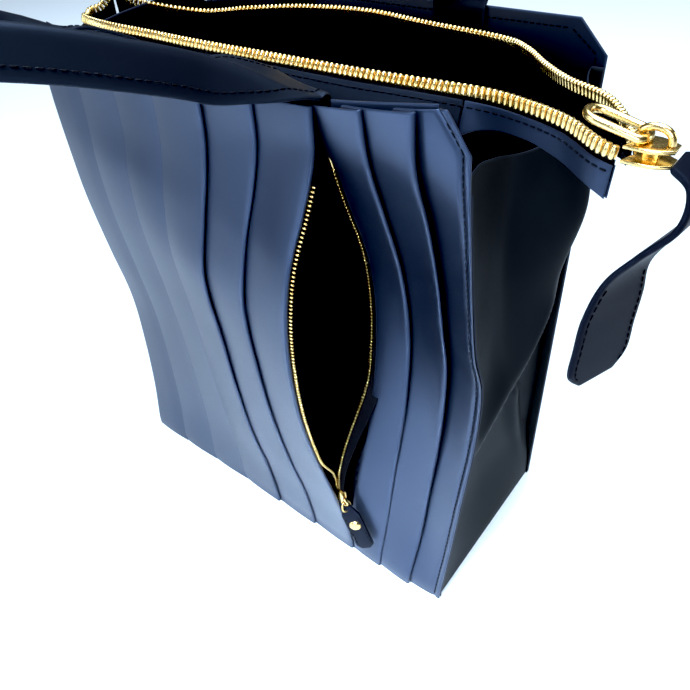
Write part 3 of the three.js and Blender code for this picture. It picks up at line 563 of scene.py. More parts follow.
def add_piece(name, vertices, faces, materials, slot=None, replaces=(), indices=None, wear=None, sharp=50):
    """One piece from vertices in millimetres, faces turned out, shaded smooth and riding on the bag."""
    mesh = bpy.data.meshes.new(name)
    mesh.from_pydata((np.asarray(vertices, float) * MM).tolist(), [], faces)
    for item in materials:
        mesh.materials.append(item)
    if indices is not None:
        mesh.polygons.foreach_set("material_index", indices)
    if wear is not None:
        layer = mesh.attributes.new("wear", "FLOAT", "POINT")
        layer.data.foreach_set("value", np.asarray(wear, np.float32))
    made = bmesh.new()
    made.from_mesh(mesh)
    bmesh.ops.recalc_face_normals(made, faces=made.faces)
    made.to_mesh(mesh)
    made.free()
    mesh.shade_smooth()
    mesh.set_sharp_from_angle(angle=math.radians(sharp))
    obj = bpy.data.objects.new(name, mesh)
    bpy.context.scene.collection.objects.link(obj)
    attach(obj, BODY)
    if replaces:
        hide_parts(*replaces)
    return obj


def add_brass(name, vertices, faces, *nodes, **options):
    add_piece(name, vertices, faces, [BRASS], slot="brass", replaces=nodes, **options)


def grid_faces(rows, columns, offset=0, flipped=False):
    """Quads of a grid of points that are numbered row by row."""
    k = np.arange((rows - 1) * columns).reshape(rows - 1, columns)[:, :-1].ravel() + offset
    quads = np.stack([k, k + 1, k + columns + 1, k + columns], -1)
    return quads[:, ::-1] if flipped else quads


def ring_faces(count, sides, closed=False):
    """Quads between rings of points, with a cap on both ends unless the last ring joins the first."""
    faces = []
    for i in range(count if closed else count - 1):
        a = i * sides
        b = (i + 1) % count * sides
        faces += [[a + k, a + (k + 1) % sides, b + (k + 1) % sides, b + k] for k in range(sides)]
    if not closed:
        faces += [list(range(sides)), list(range((count - 1) * sides, count * sides))]
    return faces


def two_sided(name, outer, inner, materials, wear=None, **options):
    """A closed sheet between two grids of points: its outer side, its inner side and the rim between them."""
    rows, columns = outer.shape[:2]
    count = rows * columns
    number = np.arange(count).reshape(rows, columns)
    rim = np.concatenate([number[0, :-1], number[:-1, -1], number[-1, :0:-1], number[:0:-1, 0]])
    following = np.roll(rim, -1)
    rim_quads = np.stack([rim, following, following + count, rim + count], -1)
    faces = [grid_faces(rows, columns), grid_faces(rows, columns, count, True), rim_quads]
    inside = len(materials) - 1
    indices = np.repeat(np.array([0, inside, 0], np.int32), [len(f) for f in faces])
    vertices = np.concatenate([outer.reshape(-1, 3), inner.reshape(-1, 3)])
    if wear is not None:
        wear = np.tile(np.broadcast_to(wear, (rows, columns)).ravel(), 2)
    faces = np.concatenate(faces).tolist()
    return add_piece(name, vertices, faces, materials, indices=indices, wear=wear, **options)


EDGE_STEPS = np.array([0, 0.08, 0.25, 0.55])  # distances in from a free edge, as parts of the thickness
EDGE_HALF = np.array([0.35, 0.62, 0.85, 0.98])  # how full the sheet is there, which rounds the edge


def edged(length, count, thickness):
    """Distances along a sheet from edge to edge, and how full the sheet is at each."""
    near = EDGE_STEPS * thickness
    middle = np.linspace(thickness, length - thickness, count)
    places = np.concatenate([near, middle, length - near[::-1]])
    fullness = np.concatenate([EDGE_HALF, np.ones(count), EDGE_HALF[::-1]])
    return places, fullness


def wall(name, levels, level_full, lines, section_full, thickness, place, materials, wear=None, **options):
    """A wall from section lines of [across, out] at each level, thickened and placed by a function."""
    along = unit(np.gradient(lines, axis=1))
    normal = np.stack([-along[..., 1], along[..., 0]], -1)
    full = level_full[:, None] * np.broadcast_to(section_full, lines.shape[:2])
    half = thickness / 2 * full[..., None]
    z = np.broadcast_to(levels[:, None], lines.shape[:2])
    sides = [lines + side * half * normal for side in (1, -1)]
    outer, inner = (place(side[..., 0], side[..., 1], z) for side in sides)
    return two_sided(name, outer, inner, materials, wear, **options)


def ribbon(name, edge_a, edge_b, thickness, materials, across=9, wear=None, **options):
    """A band between two long edges, with rounded edges."""
    middle = (edge_a + edge_b) / 2
    along = unit(np.gradient(middle, axis=0))
    width = float(np.mean(np.linalg.norm(edge_a - edge_b, axis=1)))
    places, section_full = edged(width, across, thickness)
    t = (places / width)[None, :, None]
    centre = edge_a[:, None] * (1 - t) + edge_b[:, None] * t
    normal = unit(np.cross(along, unit(edge_a - edge_b)))[:, None]
    run = run_along(middle)
    from_end = np.minimum(run, run[-1] - run) / thickness
    end_full = np.interp(from_end, EDGE_STEPS, EDGE_HALF, right=1)
    half = thickness / 2 * end_full[:, None, None] * section_full[None, :, None]
    return two_sided(name, centre + half * normal, centre - half * normal, materials, wear, **options)


def tube(line, radius, sides=10, closed=True):
    """Vertices and faces of a round wire along a line of points."""
    line = np.asarray(line, float)
    if closed:
        along = unit(np.roll(line, -1, 0) - np.roll(line, 1, 0))
    else:
        along = unit(np.gradient(line, axis=0))
    spread = np.linalg.svd(line - line.mean(0))[2]
    up = unit(np.cross(along, spread[2]))
    side = np.cross(along, up)
    turn = circle(sides)[None, :, None]
    rings = line[:, None] + radius * (np.cos(turn) * up[:, None] + np.sin(turn) * side[:, None])
    return rings.reshape(-1, 3), ring_faces(len(line), sides, closed)


def merged(parts):
    """Joins lists of vertices and faces into one."""
    vertices, faces, offset = [], [], 0
    for points, polygons in parts:
        vertices.append(np.asarray(points, float))
        faces += [[offset + i for i in polygon] for polygon in polygons]
        offset += len(points)
    return np.concatenate(vertices), faces


def bevelled(made, edges, bevel, segments):
    """Rounds edges of a bmesh, and gives its vertices and faces."""
    bmesh.ops.bevel(
        made, geom=edges, offset=bevel, segments=segments, profile=0.5, affect="EDGES", clamp_overlap=True,
    )
    made.verts.index_update()
    vertices = np.array([v.co for v in made.verts])
    faces = [[v.index for v in f.verts] for f in made.faces]
    made.free()
    return vertices, faces


def rounded_block(size, bevel, segments=2):
    """Vertices and faces of a block with rounded edges, about its own middle."""
    made = bmesh.new()
    bmesh.ops.create_cube(made, size=1)
    bmesh.ops.scale(made, vec=Vector(size), verts=made.verts)
    return bevelled(made, list(made.edges), bevel, segments)


def rounded_plate(outline, thickness, bevel, segments=2):
    """A flat shape pushed up about its own plane, with rounded rims."""
    made = bmesh.new()
    base = made.faces.new([made.verts.new((x, y, -thickness / 2)) for x, y in outline])
    top = bmesh.ops.extrude_face_region(made, geom=[base])
    lifted = [v for v in top["geom"] if isinstance(v, bmesh.types.BMVert)]
    bmesh.ops.translate(made, vec=Vector((0, 0, thickness)), verts=lifted)
    bmesh.ops.recalc_face_normals(made, faces=made.faces)
    rims = [e for e in made.edges if abs(e.verts[0].co.z - e.verts[1].co.z) < 1e-6]
    return bevelled(made, rims, bevel, segments)


def moved(vertices, matrix):
    turn = np.array(matrix.to_3x3())
    return np.asarray(vertices) @ turn.T + np.array(matrix.translation)


def carried(points, centre, *axes):
    """Points of a small shape set at a place, along directions of its own."""
    return np.asarray(centre) + sum(points[:, i:i + 1] * np.asarray(axis) for i, axis in enumerate(axes))


STITCH_RUNS = []


def stitch(line):
    """Notes a line of points to be sewn along."""
    STITCH_RUNS.append(np.asarray(line, float))


def add_stitches():
    """All the thread: a small rounded grain for each stitch."""
    turn = circle(STITCH["sides"])
    faces = ring_faces(len(STITCH_PROFILE), STITCH["sides"])
    parts = []
    for line in STITCH_RUNS:
        index = spaced(line, STITCH["pitch"])
        centre = at_index(line, index)
        along = unit(at_index(np.gradient(line, axis=0), index))
        helper = np.where(np.abs(along[:, 2:3]) > 0.9, np.array([[1.0, 0, 0]]), np.array([[0, 0, 1.0]]))
        side = unit(np.cross(along, helper))
        up = np.cross(side, along)
        for c, a, s, u in zip(centre, along, side, up):
            ring = STITCH["radius"] * (np.outer(np.cos(turn), s) + np.outer(np.sin(turn), u))
            rings = [c + a * STITCH["length"] * place + full * ring for place, full in STITCH_PROFILE]
            parts.append((np.concatenate(rings), faces))
    vertices, faces = merged(parts)
    add_piece("stitches", vertices, faces, [THREAD], sharp=180)


# Panels


def panel_levels(foot, top, step):
    """Heights from foot to top, close together at rounded edges, and how full a wall is at each."""
    places, fullness = edged(top - foot, int((top - foot) / step), LEATHER)
    return foot + places, fullness


def cut_levels(step):
    """Heights of a wall of full height, one of them at the foot of its corner's cut."""
    levels, fullness = panel_levels(WALL_FOOT, HEIGHT, step)
    levels[np.argmin(np.abs(levels - (HEIGHT - CORNER_CUT)))] = HEIGHT - CORNER_CUT
    return levels, fullness


def arc(centre, radius, start, end, count):
    """Points on an arc, in degrees."""
    angle = np.radians(np.linspace(start, end, count))
    return np.stack([centre[0] + radius * np.cos(angle), centre[1] + radius * np.sin(angle)], -1)


def face_points(start, end, count):
    """A pleat's face from its hidden start to its fold, slightly crowned."""
    t = np.linspace(0, 1, count)[:, None]
    crown = np.concatenate([0 * t, FACE_CROWN * 4 * t * (1 - t)], 1)
    return np.asarray(start) * (1 - t) + np.asarray(end) * t + crown


def folded_line(start, pleats, z, last_return):
    """A run of pleats in section: its points, how full the leather is at each, and its wear."""
    points, fullness, wear = [], [], []
    before = 1
    for i, pleat in enumerate(pleats):
        size = 1 - pleat["press"] * float(ease((z - PRESS_START["from"]) / PRESS_START["over"]))
        lift = float(lift_at(z, pleat["open"])) * size
        radius = FOLD_RADIUS * size
        fold = pleat["fold"]
        t = np.linspace(0, 1, FACE_COUNT)[:-1]
        points.append(face_points(start, (fold - radius, lift), FACE_COUNT)[:-1])
        thin_start = (1 - before) * (1 - ease(t / PRESS_SHARE))
        thin_end = (1 - size) * ease((t - (1 - PRESS_SHARE)) / PRESS_SHARE)
        fullness.append(1 - thin_start - thin_end)
        wear.append((WEAR["face"] * t) ** 4)
        points.append(arc((fold - radius, lift - radius), radius, 90, -90, ARC_COUNT))
        fullness.append(np.full(ARC_COUNT, size))
        wear.append(np.full(ARC_COUNT, WEAR["fold"]))
        if i + 1 < len(pleats) or last_return:
            under = fold - PLEAT_UNDERLAP
            points.append(arc((under, radius), radius, 90, 270, ARC_COUNT)[:-1])
            fullness.append(np.full(ARC_COUNT - 1, size))
            wear.append(np.zeros(ARC_COUNT - 1))
            start = (under, 0)
        before = size
    return np.concatenate(points), np.concatenate(fullness), np.concatenate(wear)


def with_edges(line, fullness, wear, edge_wear=WEAR["edge"]):
    """Rounds both free ends of a line: more points there, less full and more worn."""
    def near(point, towards):
        return point + EDGE_STEPS[:, None] * unit(towards - point) * LEATHER

    worn = np.full(len(EDGE_HALF), edge_wear)
    return (
        np.concatenate([near(line[0], line[1]), line[1:-1], near(line[-1], line[-2])[::-1]]),
        np.concatenate([EDGE_HALF * fullness[0], fullness[1:-1], EDGE_HALF[::-1] * fullness[-1]]),
        np.concatenate([worn, wear[1:-1], worn]),
    )


def leather_wall(name, node, levels, level_full, rows, place, materials):
    """A wall from a row of section points, fullness and wear for each level, worn at its foot and top."""
    lines, full, wear = (np.array(part) for part in zip(*rows))
    wear = np.clip(wear + WEAR["edge"] * (level_full[:, None] < 1), 0, 1)
    return wall(
        name, levels, level_full, lines, full, LEATHER, place, materials,
        wear=wear, slot="leather", replaces=[node],
    )


def add_front_left():
    levels, level_full = cut_levels(PANEL_STEP["front"])
    back = np.array([[LIP_X - LIP_RETURN["width"], LIP_RETURN["height"]]])
    rows = []
    for z in levels:
        line, full, wear = folded_line((-SIDE_X + corner_cut(z), 0), LEFT_PLEATS, z, False)
        line = np.concatenate([line, (line[-1:] + back) / 2, back])
        rows.append(with_edges(line, np.append(full, [1, 1]), np.append(wear, [0, 0])))
    leather_wall("front_left", "front_panel_left", levels, level_full, rows, front_left, [NAVY, INSIDE_AND_PAINTED_SHADE])


def pocket_edge(z):
    """Where the leather right of the slit begins: open along the zip, under the lip above and below it."""
    below = ease((z - POCKET_EDGE_RISE["from"]) / POCKET_EDGE_RISE["below"])
    above = ease((POCKET_TOP + POCKET_EDGE_RISE["above"] - z) / POCKET_EDGE_RISE["above"])
    return POCKET_SEAM_X + (POCKET_EDGE_X - POCKET_SEAM_X) * below * above


def right_end(z):
    return SIDE_X - CORNER_LEAN * corner_cut(z)


def add_front_right():
    levels, level_full = cut_levels(PANEL_STEP["front"])
    rows = []
    for z in levels:
        start = float(pocket_edge(z))
        line, full, wear = folded_line((start, float(first_right_face(start, z))), RIGHT_PLEATS, z, True)
        groove = np.array([(right_end(z) - inward, out) for inward, out in EDGE_GROOVE])
        margin = face_points((RIGHT_PLEATS[-1]["fold"] - PLEAT_UNDERLAP, 0), groove[0], FACE_COUNT)[:-1]
        line = np.concatenate([line, margin, groove])
        added = np.ones(len(margin) + len(groove))
        rows.append(with_edges(line, np.append(full, added), np.append(wear, 0 * added), WEAR["margin"]))
    materials = [NAVY, INSIDE_AND_PAINTED_SHADE]
    made = leather_wall("front_right", "front_panel_right", levels, level_full, rows, front_right, materials)
    # Painted shade: below the zip, the outer face beside the slit lies in the lip's shadow and takes the dark
    # inner-side leather.
    painted_shade_top = POCKET_EDGE_RISE["from"] + POCKET_EDGE_RISE["below"]
    for polygon in made.data.polygons:
        x, _, z = np.array(polygon.center) / MM
        if z < painted_shade_top and x < CLOSING["x"] + CLOSING["painted_shade"] + float(right_shift(z)):
            polygon.material_index = 1
    z = np.linspace(FRONT_SEAM["foot"], HEIGHT - FRONT_SEAM["top"], 140)
    out = min(out for _, out in EDGE_GROOVE) + LEATHER / 2 + PANEL_THREAD
    stitch(front_right(right_end(z) - FRONT_SEAM["edge"], out + 0 * z, z))


def add_front_rims():
    """The backing's turned edge, which stands a little above the pleats beside the handles' feet."""
    reach = STRAP_HALF_WIDTH + FRONT_RIM["beside_strap"]
    end = SIDE_X - CORNER_CUT
    spans = [(-end, -FOOT_X - reach), (-FOOT_X + reach, FOOT_X - reach), (FOOT_X + reach, end)]
    for i, (low, high) in enumerate(spans):
        x = np.linspace(low, high, 40)
        place = front_left if high < LIP_X else front_right
        top = place(x, -FRONT_RIM["behind"] + 0 * x, np.full_like(x, HEIGHT))
        upper, lower = (top + [0, 0, rise] for rise in (FRONT_RIM["above"], -FRONT_RIM["below"]))
        ribbon(f"front_rim_{i}", upper, lower, LEATHER, [NAVY], wear=WEAR["rim"], slot="leather")


def add_back_panel():
    levels, level_full = cut_levels(PANEL_STEP["back"])
    places, full = edged(1, 60, LEATHER / (2 * SIDE_X))
    rows = []
    for z in levels:
        x = (2 * places - 1) * (SIDE_X - corner_cut(z))
        rows.append((np.stack([x, 0 * x], -1), full, WEAR["edge"] * (full < 1)))
    made = leather_wall("back", "back_panel", levels, level_full, rows, back_at, [NAVY, INSIDE_AND_PAINTED_SHADE])
    for polygon in made.data.polygons:
        if polygon.center.z > FACING_FOOT * MM:
            polygon.material_index = 0
    cut_foot = HEIGHT - CORNER_CUT
    edge = SIDE_X - BACK_SEAM["edge"]
    end = SIDE_X - CORNER_CUT - BACK_SEAM["end"]
    up = np.linspace(BACK_SEAM["foot"], cut_foot, 100)
    t = np.linspace(0, 1, 16)
    across = np.linspace(-end, end, 120)
    for face in (1, -1):
        out = face * (LEATHER / 2 + PANEL_THREAD)
        for side in (-1, 1):
            stitch(back_at(np.full_like(up, side * edge), out, up))
            cut_x = side * (edge - t * (CORNER_CUT - BACK_SEAM["cut"]))
            stitch(back_at(cut_x, out, cut_foot + t * (CORNER_CUT - BACK_SEAM["edge"])))
        stitch(back_at(across, out, np.full_like(across, HEIGHT - BACK_SEAM["edge"])))


def add_base():
    """The bottom: a stiffened leather board with a rounded rim."""
    low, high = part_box("base")
    size = np.array(high - low) / MM
    size[1] += 2 * BASE_REACH
    middle = np.array(high + low) / 2 / MM
    vertices, faces = rounded_block(size, BASE_ROUND, 3)
    add_piece("bottom", vertices + middle, faces, [NAVY], slot="leather", replaces=["base"])


# Gussets


def drawn_in(t, z, share):
    """How far a gusset is drawn in between its front (0) and back (1) edges, less its share of the swell."""
    shape = GUSSET_SHAPE
    place, depth, swell = (smooth(shape["z"], shape[key], z) for key in ("place", "depth", "swell"))
    away = np.where(t < place, 1 - t / place, (t - place) / (1 - place))
    valley = depth * (1 - np.abs(away) ** VALLEY_CURVE)
    ridge_z = smooth(GUSSET_RIDGE["place"], GUSSET_RIDGE["z"], t)
    crest = RIDGE_WIDTH["crest"]
    from_ridge = np.hypot(z - ridge_z, crest) - crest
    ridge = np.exp(-from_ridge / np.where(z < ridge_z, RIDGE_WIDTH["below"], RIDGE_WIDTH["above"]))
    (top_t, top_z), (foot_t, foot_z) = CREASE["top"], CREASE["foot"]
    crease_t = top_t + (foot_t - top_t) * (top_z - z) / (top_z - foot_z)
    (foot_start, foot_over), (top_above, top_over) = CREASE["foot_fade"], CREASE["top_fade"]
    faded = ease((z - foot_start) / foot_over) * ease((top_z + top_above - z) / top_over)
    crease = np.exp(-(((t - crease_t) / CREASE["width"]) ** 2)) * faded
    rise = ease((t - SWELL["start"]) / (SWELL["full"] - SWELL["start"]))
    fall = ease((SWELL["end"] - t) / (SWELL["end"] - SWELL["full"]))
    return valley * (1 - ridge) * (1 - CREASE["share"] * crease) - share * swell * rise * fall


def add_gusset(where):
    side, dips, share = (GUSSET_SIDES[where][key] for key in ("side", "dips", "swell"))
    table = (RIGHT_BULGE, RIGHT_PLACES) if side > 0 else (LEFT_BULGE, LEFT_PLACES)
    levels, level_full = panel_levels(WALL_FOOT, GUSSET_TOP, PANEL_STEP["gusset"])
    t = np.linspace(0, 1, 90)
    rows = []
    for z in levels:
        widened = ease((z - STILL_FOOT) / FLANGE["height"])
        flange = FLANGE["foot"] + (FLANGE["wall"] - FLANGE["foot"]) * widened
        inner = SIDE_X - flange
        shift = float(right_shift(z)) if side > 0 else 0

        def front_y(x):
            return FRONT_Y - float(bulge(*table, side * x, z)) + FLANGE["offset"]

        def back_y(x):
            return BACK_Y + float(back_bulge(x, z)) - FLANGE["offset"]

        x = inner + shift * (1 - t) - drawn_in(t, np.full_like(t, z), share)
        y = front_y(inner) * (1 - t) + back_y(inner) * t
        front_edge = np.array([[SIDE_X + shift, front_y(SIDE_X)]])
        back_edge = np.array([[SIDE_X, back_y(SIDE_X)]])
        line = np.concatenate([front_edge, np.stack([x, y], -1), back_edge]) * np.array([side, 1])
        rows.append(with_edges(line, np.ones(len(line)), np.zeros(len(line))))

    def place(x, y, z):
        t = np.clip((y - FRONT_Y) / DEPTH, 0, 1)
        fallen = z - smooth(DIP_PLACES, dips, t) * ease((z - SAG_START) / (GUSSET_TOP - SAG_START))
        outer = bulge(*table, side * SIDE_X, fallen) - bulge(*table, side * SIDE_X, z)
        return np.stack([x, y - outer * (1 - t), fallen], -1)

    # The gussets' outer side takes the duller copy of the leather, a painted shade.
    materials = [INSIDE_AND_PAINTED_SHADE, PAINTED_SHADE_SIDE] if side > 0 else [PAINTED_SHADE_SIDE, INSIDE_AND_PAINTED_SHADE]
    leather_wall(f"side_{where}", f"gusset_{where}", levels, level_full, rows, place, materials)


# Pocket


def pocket_lines():
    """Edges of the pocket zip's tapes and teeth, at many heights."""
    z = np.linspace(POCKET_BOTTOM, POCKET_TOP, 130)
    lines = {}
    for side, sign in (("left", -1), ("right", 1)):
        drawn = 1 - ease((z - POCKET_BOTTOM) / CLOSING[side])[:, None]
        lines[side] = {}
        for edge, row in POCKET_EDGES.items():
            x = np.full_like(z, LIP_X + row[side])
            if side == "right":
                line = front_right(x, first_right_face(x, z) - TAPE_SEAT, z)
            else:
                out = SEWN_OUT + 0 * z if edge == "sewn" else lift_at(z) - TAPE_SEAT - TAPE_DROP
                line = front_left(x, out, z)
            closed_x = CLOSING["x"] + sign * row["closed"]
            closed = np.stack([closed_x + 0 * z, CLOSING["y"] + 0 * z, line[:, 2]], -1)
            lines[side][edge] = line * (1 - drawn) + closed * drawn
    return lines


def add_top_stop(edges):
    """The metal stop at the upper end of the pocket zip's far row."""
    near, far = edges["near"], edges["far"]
    along = unit(near[-1] - near[-4])
    across = unit(far[-1] - near[-1])
    block, faces = rounded_block(TOP_STOP["size"], TOP_STOP["round"], 3)
    middle = (near[-1] + far[-1]) / 2 + along * TOP_STOP["size"][1] / 2
    add_brass("pocket_zip_stop", carried(block, middle, across, along, np.cross(along, across)), faces)


def teeth(name, roots, tips, tooth, node):
    """A row of single metal teeth, each a rounded grain from the tape's edge to the row's free edge."""
    middle = (roots + tips) / 2
    index = spaced(middle, tooth["pitch"])
    centre = at_index(middle, index)
    along = unit(at_index(np.gradient(middle, axis=0), index))
    through = unit(np.cross(along, unit(at_index(tips - roots, index))))
    up = np.cross(through, along)
    size = [tooth[key] for key in ("width", "height", "thickness")]
    grain, faces = rounded_block(size, TOOTH_ROUND * tooth["width"], 3)
    swollen = 1 + TOOTH_SWELL * (1 - (2 * grain[:, 1:2] / tooth["height"]) ** 2)
    grain = grain * np.concatenate([swollen, np.ones_like(swollen), swollen], 1)
    parts = [(carried(grain, c, a, u, w), faces) for c, a, u, w in zip(centre, along, up, through)]
    add_brass(name, *merged(parts), node, sharp=70)


def add_pocket_zip():
    lines = pocket_lines()
    for side, edges in lines.items():
        ribbon(
            f"pocket_zip_tape_{side}", edges["free"], edges["sewn"], POCKET_TAPE, [TAPE],
            slot="zip_tape", replaces=[f"pocket_tape_{side}"],
        )
        teeth(f"pocket_zip_teeth_{side}", edges["near"], edges["far"], POCKET_TOOTH, f"pocket_teeth_{side}")
    add_top_stop(lines["right"])


def add_pouch():
    """The black pouch behind the slit: a folded cloth with an open mouth at the zip and a floor."""
    shape = POUCH_SHAPE
    closed_x, slack = shape["closed_x"], shape["slack"]
    levels = np.linspace(POCKET_BOTTOM - shape["depth"], POCKET_TOP, 64)
    options = {"slot": "pouch_cloth", "replaces": ["pocket_bag"]}

    def front_line(x, z):
        return front_left(x, shape["out"] + 0 * x, np.full_like(x, z))

    def back_point(x, z, behind):
        x, z = np.asarray(float(x)), np.asarray(float(z))
        return front_right(x, first_right_face(x, z) - TAPE_SEAT - behind, z)

    def walls(z):
        """The front wall from the mouth to the fold, and the back wall from the fold to the teeth."""
        front = front_line(np.linspace(shape["open_x"], closed_x, 24), z)
        near_teeth = back_point(LIP_X + shape["teeth_x"], z, shape["behind_teeth"])
        widest = near_teeth[1] - front_line(near_teeth[:1], z)[0, 1]
        t = np.linspace(0, 1, 24)
        back = front_line(closed_x + (near_teeth[0] - closed_x) * t, z)
        back[:, 1] += slack + (widest - slack) * t ** shape["curve"]
        return front, back

    front, back = walls(levels[0])
    ribbon("pouch_floor", front, back[::-1], shape["cloth"], [POUCH], **options)
    lines = []
    for z in levels:
        front, back = walls(z)
        turn = front[-1] + np.array([-shape["fold"], slack / 2, 0])
        mouth = back_point(LIP_X + POCKET_EDGES["sewn"]["right"], z, shape["behind_tape"])
        lines.append(np.concatenate([front, turn[None], back, mouth[None]])[:, :2])
    lines = np.array(lines)

    def place(x, y, z):
        return np.stack([x, y, sagged(x, z)], -1)

    full = np.ones(lines.shape[1])
    wall("pouch", levels, np.ones(len(levels)), lines, full, shape["cloth"], place, [POUCH], **options)


def mirrored_outline(half, axis):
    """Half an outline and its mirror image. A point on the mirror's line isn't repeated."""
    flip = np.array([-1, 1]) if axis == "x" else np.array([1, -1])
    return list(half) + [tuple(flip * p) for p in reversed(half) if tuple(flip * p) != tuple(p)]


def slider_parts(slider, axis):
    """A zip slider's two plates and the core between them."""
    vertices, faces = rounded_plate(mirrored_outline(slider["half"], axis), slider["plate"], slider["round"])
    parts = [(vertices + [0, 0, z], faces) for z in (-slider["apart"], slider["apart"])]
    core, core_faces = rounded_block(slider["core"], slider["core_round"])
    return parts + [(core + slider["core_at"], core_faces)]


def add_pocket_tab():
    """The pull's leather tab, sewn along both sides."""
    tab = POCKET_TAB
    top, foot, width = tab["top"], tab["top"] - tab["length"], tab["half"]
    corner_x, corner_y = tab["corner"]
    outline = [(-tab["neck"], top), (-width, top - tab["shoulder"])]
    outline += [(-width, foot + corner_y), (-width + corner_x, foot)]
    vertices, faces = rounded_plate(mirrored_outline(outline, "x"), tab["thickness"], tab["round"], 3)
    # The tab takes the darker copy of the leather, a painted shade.
    add_piece(
        "pocket_pull_tab", moved(vertices, POCKET_FLAP), faces, [PAINTED_SHADE_TAB],
        slot="leather", replaces=["pocket_tab"], wear=np.full(len(vertices), WEAR["tab"]),
    )
    y = np.linspace(top - tab["seam_from"], foot + tab["seam_to"], 20)
    for side in (-1, 1):
        x = side * (width - tab["seam"])
        line = np.stack([np.full_like(y, x), y, np.full_like(y, tab["thickness"] / 2 + STRAP_THREAD)], -1)
        stitch(moved(line, POCKET_FLAP))


def add_rivet():
    """The tab's domed rivet: rings round a crown."""
    turn = circle(28)
    count = len(turn)
    middle = np.array([0, POCKET_TAB["top"] - POCKET_TAB["rivet"], RIVET["seat"]])
    rings = [
        middle + np.stack([r * np.cos(turn), r * np.sin(turn), np.full_like(turn, height)], -1)
        for r, height in RIVET["profile"]
    ]
    faces = ring_faces(len(rings), count)
    crown = count * len(rings)
    faces[-2:-1] = [[crown, k, (k + 1) % count] for k in range(count)]  # in place of the upper cap
    points = np.concatenate([*rings, [middle + [0, 0, RIVET["crown"]]]])
    add_brass("pocket_pull_rivet", moved(points, POCKET_FLAP), faces, "pocket_rivet")


def add_pocket_pull():
    """Slider, ring, leather tab and rivet of the pocket zip."""
    lug, ring = POCKET_LUG, POCKET_RING
    eye = [(lug["width"] * math.cos(a), lug["y"] + lug["height"] * math.sin(a), 0) for a in circle(21)]
    vertices, faces = merged(slider_parts(POCKET_SLIDER, "x") + [tube(eye, lug["wire"], 8)])
    add_brass("pocket_zip_slider", moved(vertices, POCKET_PULL), faces, "pocket_slider")
    hoop = [(0, ring["y"] + ring["radius"] * math.cos(a), ring["radius"] * math.sin(a)) for a in circle(32)]
    vertices, faces = tube(hoop, ring["wire"])
    add_brass("pocket_zip_ring", moved(vertices, POCKET_PULL), faces, "pocket_ring", sharp=180)
    add_pocket_tab()
    add_rivet()


# Main zip


def zip_curves(rows, sewn_foot, panel_face, steps=420):
    """The teeth's free edge and the strip's lower edge, point by point."""
    top = catmull([row[:3] for row in rows], steps)
    foot_rows = []
    for x, _, _, y, z in rows:
        z = sewn_foot if z is None else z
        foot_rows.append((x, panel_face(x, z) if y is None else y, z))
    return top, catmull(foot_rows, steps)


def add_zip_side(side, rows, panel_face):
    """One side of the main zip: its teeth, its tape and its two-layered strip."""
    top, foot = zip_curves(rows, SEWN_FOOT[side], panel_face)
    drop = unit(foot - top)

    def down(distance):
        return top + drop * distance

    teeth(f"main_zip_teeth_{side}", down(TOOTH["height"]), top, TOOTH, f"zip_teeth_{side}")
    tape_top = TOOTH["height"] - ZIP_TAPE["under_teeth"]
    strip_top = TOOTH["height"] + STRIP["below_teeth"]
    ribbon(
        f"main_zip_tape_{side}", down(tape_top), down(tape_top + ZIP_TAPE["width"]), ZIP_TAPE["thickness"],
        [TAPE], slot="zip_tape", replaces=[f"zip_tape_{side}"],
    )
    outward = unit(np.cross(unit(np.gradient(top, axis=0)), drop)) * (-1 if side == "front" else 1)
    stretches = {"whole": slice(None)}
    if side == "front":
        seam = int(np.argmax(top[:, 0] > STRIP["free_from"]))
        stretches = {"sewn": slice(None, seam), "free": slice(seam, None)}
    for layer, face in (("outer", 1), ("inner", -1)):
        shift = face * STRIP["layer"] * outward
        upper, lower = down(strip_top) + shift, foot + shift
        # The free stretch of the front strip keeps the lit leather; the sewn stretch and the whole back strip
        # take the darker copy, a painted shade.
        for part, stretch in stretches.items():
            ribbon(
                f"main_zip_strip_{side}_{layer}_{part}", upper[stretch], lower[stretch], STRIP["layer"],
                [NAVY if part == "free" else PAINTED_SHADE_STRAP], wear=WEAR["strip"], slot="leather",
                replaces=[f"zip_strip_{side}"],
            )
        stitch(down(strip_top + STRIP["seam"]) + STRIP["thread"] * shift)


def add_main_zip():
    def front_face(x, z):
        place = front_left if x < LIP_X else front_right
        return float(place(np.asarray(float(x)), np.asarray(-STRIP["seat"]), np.asarray(float(z)))[1])

    def back_face(x, z):
        return BACK_Y + float(back_bulge(x, z)) - STRIP["seat"]

    add_zip_side("front", ZIP_FRONT, front_face)
    add_zip_side("back", ZIP_BACK, back_face)


def add_main_slider():
    """The brass slider at the zip's free end: two plates, a core between them, a bridge and a pull loop."""
    bridge, pull = SLIDER_BRIDGE, ZIP_PULL
    radius = bridge["radius"]
    arch = [
        (bridge["x"] - radius * math.cos(a), 0, bridge["z"] + radius * math.sin(a) ** bridge["curve"])
        for a in np.linspace(bridge["end"], math.pi - bridge["end"], 19)
    ]
    vertices, faces = merged(slider_parts(MAIN_SLIDER, "y") + [tube(arch, bridge["wire"], closed=False)])
    add_brass("main_zip_slider", vertices + SLIDER, faces, "zip_slider")

    half, quarter = pull["half"], math.pi / 2
    turns = np.linspace(quarter, 3 * quarter, 15)
    bend = [(half * math.cos(a) - pull["reach"], half * math.sin(a), 0) for a in turns]
    turns = np.linspace(-quarter, quarter, 11)
    hinge = [(half * pull["hinge"] * math.cos(a), half * math.sin(a), 0) for a in turns]
    vertices, faces = tube(bend + hinge, pull["wire"], 12)
    hinge_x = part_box("zip_pull")[1].x / MM - pull["from_end"]
    tilt = Matrix.Rotation(math.radians(pull["tilt"]), 4, "Y")
    place = Matrix.Translation((hinge_x, SLIDER[1], pull["z"])) @ tilt
    add_brass("main_zip_pull", moved(vertices, place), faces, "zip_pull", sharp=180)


